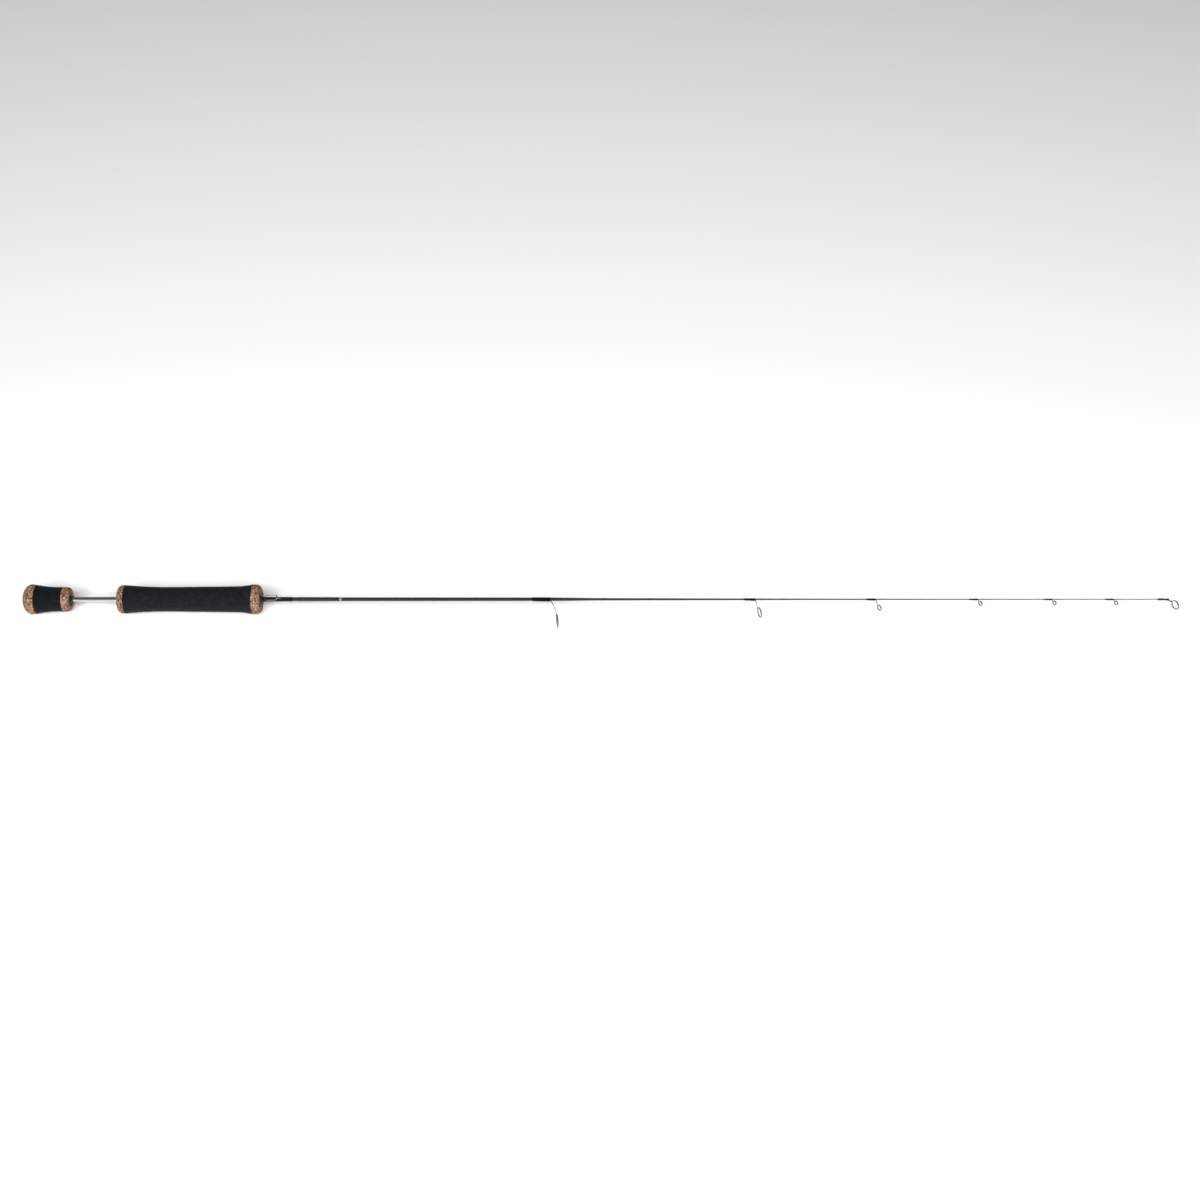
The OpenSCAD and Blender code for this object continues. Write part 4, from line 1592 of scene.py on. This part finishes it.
@dataclass
class HookKeeper:
    """The fold-down hook keeper: thread, foot with a hinge barrel, and the wire bail."""

    taper: Taper
    foot_len: float = 8.0
    post_len: float = 1.2
    foot_set: float = 0.5
    foot_wide: float = 1.2
    foot_thick: float = 0.25
    toe_thick: float = 0.1
    post_thick: float = 0.3
    barrel_r: float = 0.65
    wire_d: float = 0.54
    hinge_gap: float = 0.05
    bail_wide: float = 4.3
    pin_in: float = 0.3
    wire_bend: float = 0.5
    arc_steps: int = 17
    bare_heel: float = 1.0
    heel_at: float = 0.7
    into_barrel: float = 0.75

    @property
    def hinge(self) -> np.ndarray:
        """The centre of the hinge, from the record's joint."""
        return np.array(frame["joints"][0]["pos_m"]) / MM

    @property
    def across(self) -> np.ndarray:
        """The hinge's axis, square to the rod."""
        return np.array(frame["joints"][0]["axis"], float)

    @property
    def up(self) -> np.ndarray:
        """Direction from the rod's axis to the keeper."""
        return np.cross([1.0, 0.0, 0.0], self.across)

    def spot(self, x: float, height: float) -> tuple[float, ...]:
        """Gives a point of the keeper's middle plane, at a station and a height from the axis."""
        return tuple(np.array([x, 0.0, 0.0]) + self.up * height)

    def build_thread(self) -> None:
        """Winds the thread under the bail, and the butt wrap over the keeper's foot."""
        zone, bound = Extent.of("keeper_zone_wrap"), Extent.of("butt_wrap")
        under = ThreadWrap(self.taper, zone.x0, zone.x1, blunt=0.05)
        make_piece("keeper_zone_thread", [under.shell()], THREAD, "keeper_zone_wrap")
        foot_x = bound.x0 + self.foot_set
        turn = -math.atan2(float(self.up[2]), -float(self.up[1]))
        over = ThreadWrap(
            self.taper, bound.x0, bound.x1, run_out=0.05, blunt=1.0,
            foot_start=foot_x + self.post_len + self.bare_heel, foot_end=foot_x + self.foot_len,
            foot_base=float(self.taper.at(foot_x)), foot_wide=self.foot_wide,
            foot_tail=self.foot_thick, foot_thick=self.toe_thick, foot_turn=turn,
        )
        make_piece("butt_wrap_thread", [over.shell()], THREAD, "butt_wrap")

    def build_base(self) -> None:
        """Makes the base: a strap from the foot's toe up the post, and the barrel on its end.

        The strap is a squared section carried along a path in the keeper's middle plane, and
        the barrel is a ring's section turned about the hinge's axis.
        """
        box = Extent.along("keeper_base", self.across, self.up)
        hinge_height = float(self.hinge @ self.up)
        toe_x, foot_z = box.x1, float(box.low[2])
        heel_x = toe_x - self.foot_len + self.post_len * self.heel_at
        path = walked(
            [self.spot(toe_x, foot_z + self.toe_thick / 2),
             self.spot(heel_x, foot_z + self.foot_thick / 2),
             self.spot(float(self.hinge[0]) + self.barrel_r * self.into_barrel, hinge_height)],
            bend=0.5, step=0.12,
        )
        way = part_way(path[:, 0], toe_x, heel_x - toe_x)
        thick = self.toe_thick + (self.post_thick - self.toe_thick) * way
        wide = np.full(len(path), self.foot_wide)
        strap = carried(path, self.across, wide, thick, power=5.0)
        half = float(box.high[1])
        bore = self.wire_d / 2 + self.hinge_gap
        section = band(-half, half, bore, self.barrel_r)
        axis = Axis(tuple(self.hinge), tuple(self.across), tuple(self.up))
        barrel = lathe(section, Closure.LOOP, columns=48, step=0.3, corner=0.12, axis=axis)
        make_piece("keeper_base_steel", [strap, barrel], BAIL_STEEL_PAINTED_BRIGHT, "keeper_base")

    def build_bail(self) -> None:
        """Bends the bail from one wire.

        The wire goes out of the barrel, round a bend into a leg, round a half circle at the
        closed end and back, all in the plane through the hinge that leans to the bail's end.
        """
        box = Extent.along("keeper_bail", self.across, self.up)
        hinge, side = self.hinge, self.across
        wire_r, half = self.wire_d / 2, self.bail_wide / 2
        end = np.array(self.spot(box.x0 + wire_r, float(box.low[2]) + wire_r))
        length = float(np.linalg.norm(end - hinge))
        leg = (end - hinge) / length
        turn = np.linspace(-math.pi / 2, math.pi / 2, self.arc_steps)
        centre = hinge + leg * (length - half)
        arc = centre + np.cos(turn)[:, None] * half * leg + np.sin(turn)[:, None] * half * side
        corners = [hinge - side * self.pin_in, hinge - side * half, *arc]
        corners += [hinge + side * half, hinge + side * self.pin_in]
        path = walked([tuple(c) for c in corners], self.wire_bend, step=0.14)
        size = np.full(len(path), self.wire_d)
        bail = carried(path, np.cross(leg, side), size, size)
        make_piece("keeper_bail_wire", [bail], BAIL_STEEL_PAINTED_BRIGHT, "keeper_bail", body=BAIL_BODY)

    def build(self) -> None:
        """Builds the keeper and its thread."""
        self.build_thread()
        self.build_base()
        self.build_bail()


# ---------------------------------------------------------------- guides and tip-top


@dataclass
class GuideRing:
    """A steel hoop and the hard liner in it."""

    place: RingPlace
    outer_r: float
    hoop_wall: float = 0.4
    hoop_wide: float = 0.9
    liner_wide: float = 1.1
    seat_gap: float = 0.03
    lip_share: float = 0.55

    def hoop(self) -> Shell:
        """Turns the hoop: a flat band with well rounded edges."""
        seat, half = self.outer_r - self.hoop_wall, self.hoop_wide / 2
        section = band(-half, half, seat, self.outer_r)
        axis = self.place.turning()
        return lathe(section, Closure.LOOP, columns=72, step=0.15, corner=0.17, axis=axis)

    def liner(self) -> Shell:
        """Turns the liner: round inside, where the line runs, and proud of the hoop."""
        seat, half = self.outer_r - self.hoop_wall - self.seat_gap, self.liner_wide / 2
        bore, land = self.place.bore, self.liner_wide / 4
        lip = bore + (seat - bore) * self.lip_share
        section = [
            (-half, seat), (half, seat), (half, lip), (land, bore), (-land, bore), (-half, lip),
        ]
        axis = self.place.turning()
        return lathe(section, Closure.LOOP, columns=72, step=0.12, corner=0.16, axis=axis)


@dataclass
class RingGuide:
    """A single-foot guide: foot, leg and hoop in one, its liner and the wrap on its foot."""

    number: int
    taper: Taper
    foot_thick: float
    foot_wide: float
    bow: float
    leg_thick: float = 0.5
    tail_thick: float = 0.12
    hoop_wall: float = 0.4
    foot_gap: float = 0.03
    wrap_gap: float = 0.05
    leg_steps: int = 9
    flare_len: float = 1.2
    flare_share: float = 0.35
    tail_share: float = 0.75
    thin_len: float = 1.5

    def ring(self) -> GuideRing:
        """Gives the guide's ring, sized from its CAD node."""
        box = Extent.of(f"guide_{self.number}_frame")
        place = RingPlace.of(f"line_guide_{self.number}")
        return GuideRing(place, box.radius, self.hoop_wall)

    def leg(self) -> Shell:
        """Carries a squared section along the foot, round the bend and up the leg to the hoop.

        The leg is the straight line from root to top, moved forward along the rod by
        4 t (1 - t) times the bow, with t running from 0 at the root to 1 at the top.

        Returns:
            The foot and leg.
        """
        frame_box = Extent.of(f"guide_{self.number}_frame")
        wrap_box = Extent.of(f"guide_{self.number}_wrap")
        ring = self.ring()
        base = float(self.taper.at(wrap_box.x0)) + self.foot_gap
        root_x = wrap_box.x1 + self.wrap_gap + self.leg_thick / 2
        root = np.array([root_x, -base - self.foot_thick / 2, 0.0])
        tail = np.array([frame_box.x0, -base - self.tail_thick / 2, 0.0])
        top = ring.place.centre + ring.place.inward * (ring.outer_r - self.hoop_wall / 2)
        t = np.linspace(0, 1, self.leg_steps)[1:, None]
        rise = root + t * (top - root) + 4 * t * (1 - t) * np.array([self.bow, 0.0, 0.0])
        corners = [tuple(tail), tuple(root), *map(tuple, rise)]
        path = walked(corners, bend=0.7, step=0.16)
        run = run_along(path)
        foot_run = float(np.linalg.norm(root - tail))
        on_foot = np.clip(run / foot_run, 0, 1)
        near_hoop = part_way(run, run[-1] - self.flare_len, self.flare_len) ** 2
        up_leg = part_way(run, foot_run, self.thin_len)
        thick = self.tail_thick + (self.foot_thick - self.tail_thick) * on_foot
        thick = thick + (self.leg_thick - self.foot_thick) * up_leg
        narrow = self.tail_share + (1 - self.tail_share) * on_foot
        wide = self.foot_wide * narrow * (1 + self.flare_share * near_hoop)
        return carried(path, np.array([0.0, 0.0, 1.0]), wide, thick, power=3.5)

    def wrap(self) -> Shell:
        """Winds the thread over the foot."""
        box = Extent.of(f"guide_{self.number}_wrap")
        foot = Extent.of(f"guide_{self.number}_frame")
        return ThreadWrap(
            self.taper, box.x0, box.x1, foot_start=foot.x0, foot_end=box.x1 + 2.0,
            foot_base=float(self.taper.at(box.x0)) + self.foot_gap, foot_wide=self.foot_wide,
            foot_tail=self.tail_thick, foot_thick=self.foot_thick,
        ).shell()

    def build(self) -> None:
        """Builds the guide's three pieces."""
        name, ring = f"guide_{self.number}", self.ring()
        make_piece(f"{name}_wire", [self.leg(), ring.hoop()], WIRE_STEEL, f"{name}_frame")
        make_piece(f"{name}_ring", [ring.liner()], LINER, f"{name}_liner")
        make_piece(f"{name}_thread", [self.wrap()], THREAD, f"{name}_wrap")


# From the butt on: each guide's foot thickness, foot width and how far its leg bows forward
GUIDE_FEET = [
    (0.6, 1.1, 1.1), (0.7, 0.9, 0.2), (0.5, 0.75, 0.1),
    (0.4, 0.65, 0.0), (0.35, 0.6, 0.0), (0.35, 0.6, 0.0),
]


@dataclass
class TipTop:
    """The tip-top: tube on the blank's end, strap, hoop, liner and the wrap behind."""

    taper: Taper
    plug: float = 2.0
    gap: float = 0.03
    strap_wide: float = 1.1
    strap_thick: float = 0.35
    strap_back: float = 3.0
    strap_sink: float = 0.3
    strap_turn: float = 0.1
    strap_fall: float = 0.06
    coat: float = 0.14
    pitch: float = 0.2
    ridge: float = 0.008
    blunt: float = 0.3
    columns: int = 48
    hoop_wall: float = 0.4

    def build_tube(self) -> None:
        """Turns the tube with its blind bore, and carries the strap from it to the hoop."""
        box = Extent.of("tip_top_tube")
        end = box.x1 - self.plug
        bore0, bore1 = float(self.taper.at(box.x0)), float(self.taper.at(end))
        outline = [
            (end, 0.0), (end, bore1 + self.gap), (box.x0, bore0 + self.gap),
            (box.x0, box.radius), (box.x1, box.radius), (box.x1, 0.0),
        ]
        tube = lathe(outline, Closure.POLES, columns=48, step=0.5, corner=0.12)
        make_piece("tip_tube", [tube], DARK_STEEL, "tip_top_tube")

    def build_ring(self) -> None:
        """Makes the hoop on its strap, and the liner.

        The strap starts at half its thickness and four fifths of its width, and both are full
        a third of the way along it.
        """
        tube, hoop_box = Extent.of("tip_top_tube"), Extent.of("tip_top_frame")
        place = RingPlace.of("line_tip_top")
        ring = GuideRing(place, hoop_box.radius, self.hoop_wall)
        top = place.centre + place.inward * (ring.outer_r - self.hoop_wall / 2)
        under = -tube.radius - self.gap - self.strap_thick * self.strap_sink
        back = (tube.x1 - self.strap_back, under, 0.0)
        front = (tube.x1 - self.strap_turn, under - self.strap_fall, 0.0)
        path = walked([back, front, tuple(top)], bend=0.6, step=0.14)
        grown = np.clip(np.linspace(0, 1, len(path)) * 3, 0, 1)
        thick = self.strap_thick * (0.5 + 0.5 * grown)
        wide = self.strap_wide * (0.8 + 0.2 * grown)
        strap = carried(path, np.array([0.0, 0.0, 1.0]), wide, thick, power=3.0)
        make_piece("tip_strap", [strap], DARK_STEEL, "tip_top_frame")
        make_piece("tip_hoop", [ring.hoop()], WIRE_STEEL, "tip_top_frame")
        make_piece("tip_ring", [ring.liner()], LINER, "tip_top_liner")

    def build_wrap(self) -> None:
        """Winds the thread over the back of the tube and down onto the blank.

        The outside is the tube's radius plus the coat, which falls to the blank on a quarter
        ellipse behind the tube, with one ridge for each turn of thread.
        """
        box, tube = Extent.of("tip_wrap"), Extent.of("tip_top_tube")
        x = np.linspace(box.x0, box.x1, int((box.x1 - box.x0) / (self.pitch / 4)))
        rise = np.sin(part_way(x, box.x0, tube.x0 - box.x0) * math.pi / 2)
        low, high = self.taper.at(x) + self.gap, tube.radius + self.coat
        outside = low + (high - low) * rise
        inside = np.where(x < tube.x0, self.taper.at(x), tube.radius) + HAIR_GAP
        blunt = quarter(part_way(x, box.x1, -self.blunt))
        outside = np.maximum(inside + (outside - inside) * blunt, inside + HAIR_GAP)
        high_turns = self.ridge * ridges(x, box.x0, self.pitch, self.columns)
        ridged = outside[:, None] + high_turns * (rise * blunt)[:, None]
        outer = ROD_AXIS.turn(x, ridged, self.columns)
        inner = ROD_AXIS.turn(x[::-1], inside[::-1], self.columns)
        shell = Shell(np.concatenate([outer, inner]), Closure.LOOP)
        make_piece("tip_thread", [shell], THREAD, "tip_wrap")

    def build(self) -> None:
        """Builds the tip-top."""
        self.build_tube()
        self.build_ring()
        self.build_wrap()


# ---------------------------------------------------------------- studio


@dataclass
class Studio:
    """The floor, the soft lights and the camera."""

    floor_side: float = 8.0
    view_elevation: float = 45.0
    view_distance: float = 1.2714
    lens: float = 48.0
    sensor: float = 36.0
    look_drop: float = 0.0008
    middle: float = 0.4569
    key_from: tuple[float, float, float] = (-1.6, -2.6, 2.5)
    key_size: tuple[float, float] = (0.9, 0.9)
    key_power: float = 40.0
    top_from: tuple[float, float, float] = (0.0, -1.5, 1.5)
    top_size: tuple[float, float] = (2.6, 1.4)
    top_power: float = 82.0
    room_bright: float = 0.7
    room_dim: float = 0.13

    def build_floor(self) -> None:
        """Lays the white floor just under the lowest point of the rod."""
        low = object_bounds()[0][2]
        half = self.floor_side / 2
        corners = [(-half, -half, low), (half, -half, low), (half, half, low), (-half, half, low)]
        mesh = bpy.data.meshes.new("studio_floor")
        mesh.from_pydata(corners, [], [(0, 1, 2, 3)])
        mesh.materials.append(PAPER.material())
        floor = bpy.data.objects.new("studio_floor", mesh)
        bpy.context.scene.collection.objects.link(floor)
        floor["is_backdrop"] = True

    def build_light(
        self, name: str, way: tuple[float, float, float], size: tuple[float, float], power: float
    ) -> None:
        """Hangs a soft light that points at the middle of the rod and that metal doesn't mirror.

        Args:
            name: the light's name.
            way: where it hangs, seen from the middle of the rod.
            size: its length and width.
            power: its power in watts.
        """
        lamp = bpy.data.lights.new(name, "AREA")
        lamp.shape = "RECTANGLE"
        lamp.size, lamp.size_y = size
        lamp.energy = power
        light = bpy.data.objects.new(name, lamp)
        light.visible_glossy = False
        place = Vector((self.middle, 0.0, 0.0)) + Vector(way)
        turned = (-Vector(way)).to_track_quat("-Z", "Y").to_matrix().to_4x4()
        light.matrix_world = Matrix.Translation(place) @ turned
        bpy.context.scene.collection.objects.link(light)

    def build_world(self) -> None:
        """Fills the room with dim light, brightest low in front of the rod.

        The level falls in a straight line as the direction's Y plus its height rises.
        """
        world = bpy.data.worlds.new("studio_room")
        world.use_nodes = True
        tree = world.node_tree
        tree.nodes.clear()
        way = add(tree, "ShaderNodeTexCoord").outputs["Generated"]
        parts = add(tree, "ShaderNodeSeparateXYZ", {0: way}).outputs
        climb = add(tree, "ShaderNodeMath", {0: parts[1], 1: parts[2]}, operation="ADD")
        level = add(
            tree, "ShaderNodeMapRange",
            {"Value": climb, "From Min": -0.9, "From Max": 0.1,
             "To Min": self.room_bright, "To Max": self.room_dim},
        )
        sky = add(tree, "ShaderNodeBackground", {"Strength": level})
        add(tree, "ShaderNodeOutputWorld", {0: sky})
        sky.inputs["Color"].default_value = (1.0, 1.0, 1.0, 1.0)
        bpy.context.scene.world = world

    def build_camera(self) -> None:
        """Sets the camera up in front of the rod, looking down on it."""
        lens = bpy.data.cameras.new("studio_camera")
        lens.lens = self.lens
        lens.sensor_width = self.sensor
        lens.clip_end = 50.0
        camera = bpy.data.objects.new("studio_camera", lens)
        lift = math.radians(self.view_elevation)
        aim = Vector((self.middle, 0.0, -self.look_drop))
        away = Vector((0.0, -math.cos(lift), math.sin(lift))) * self.view_distance
        turned = (-away).to_track_quat("-Z", "Y").to_matrix().to_4x4()
        camera.matrix_world = Matrix.Translation(aim + away) @ turned
        bpy.context.scene.collection.objects.link(camera)
        bpy.context.scene.camera = camera

    def build(self) -> None:
        """Builds the studio round the rod."""
        bpy.context.scene.view_settings.view_transform = "Standard"
        self.build_floor()
        self.build_world()
        self.build_light("key_light", self.key_from, self.key_size, self.key_power)
        self.build_light("top_light", self.top_from, self.top_size, self.top_power)
        self.build_camera()


# ---------------------------------------------------------------- the whole rod


def main() -> None:
    """Builds the rod from butt to tip, then the studio."""
    logging.basicConfig(level=logging.INFO, format="%(name)s: %(message)s")
    taper = Taper.of("rod_blank")
    ButtKnob().build()
    HandleSpine().build()
    Grip().build()
    Blank(taper).build()
    HookKeeper(taper).build()
    for number, (thick, wide, bow) in enumerate(GUIDE_FEET, start=1):
        RingGuide(number, taper, thick, wide, bow).build()
    TipTop(taper).build()
    Studio().build()


if __name__ == "__main__":
    main()
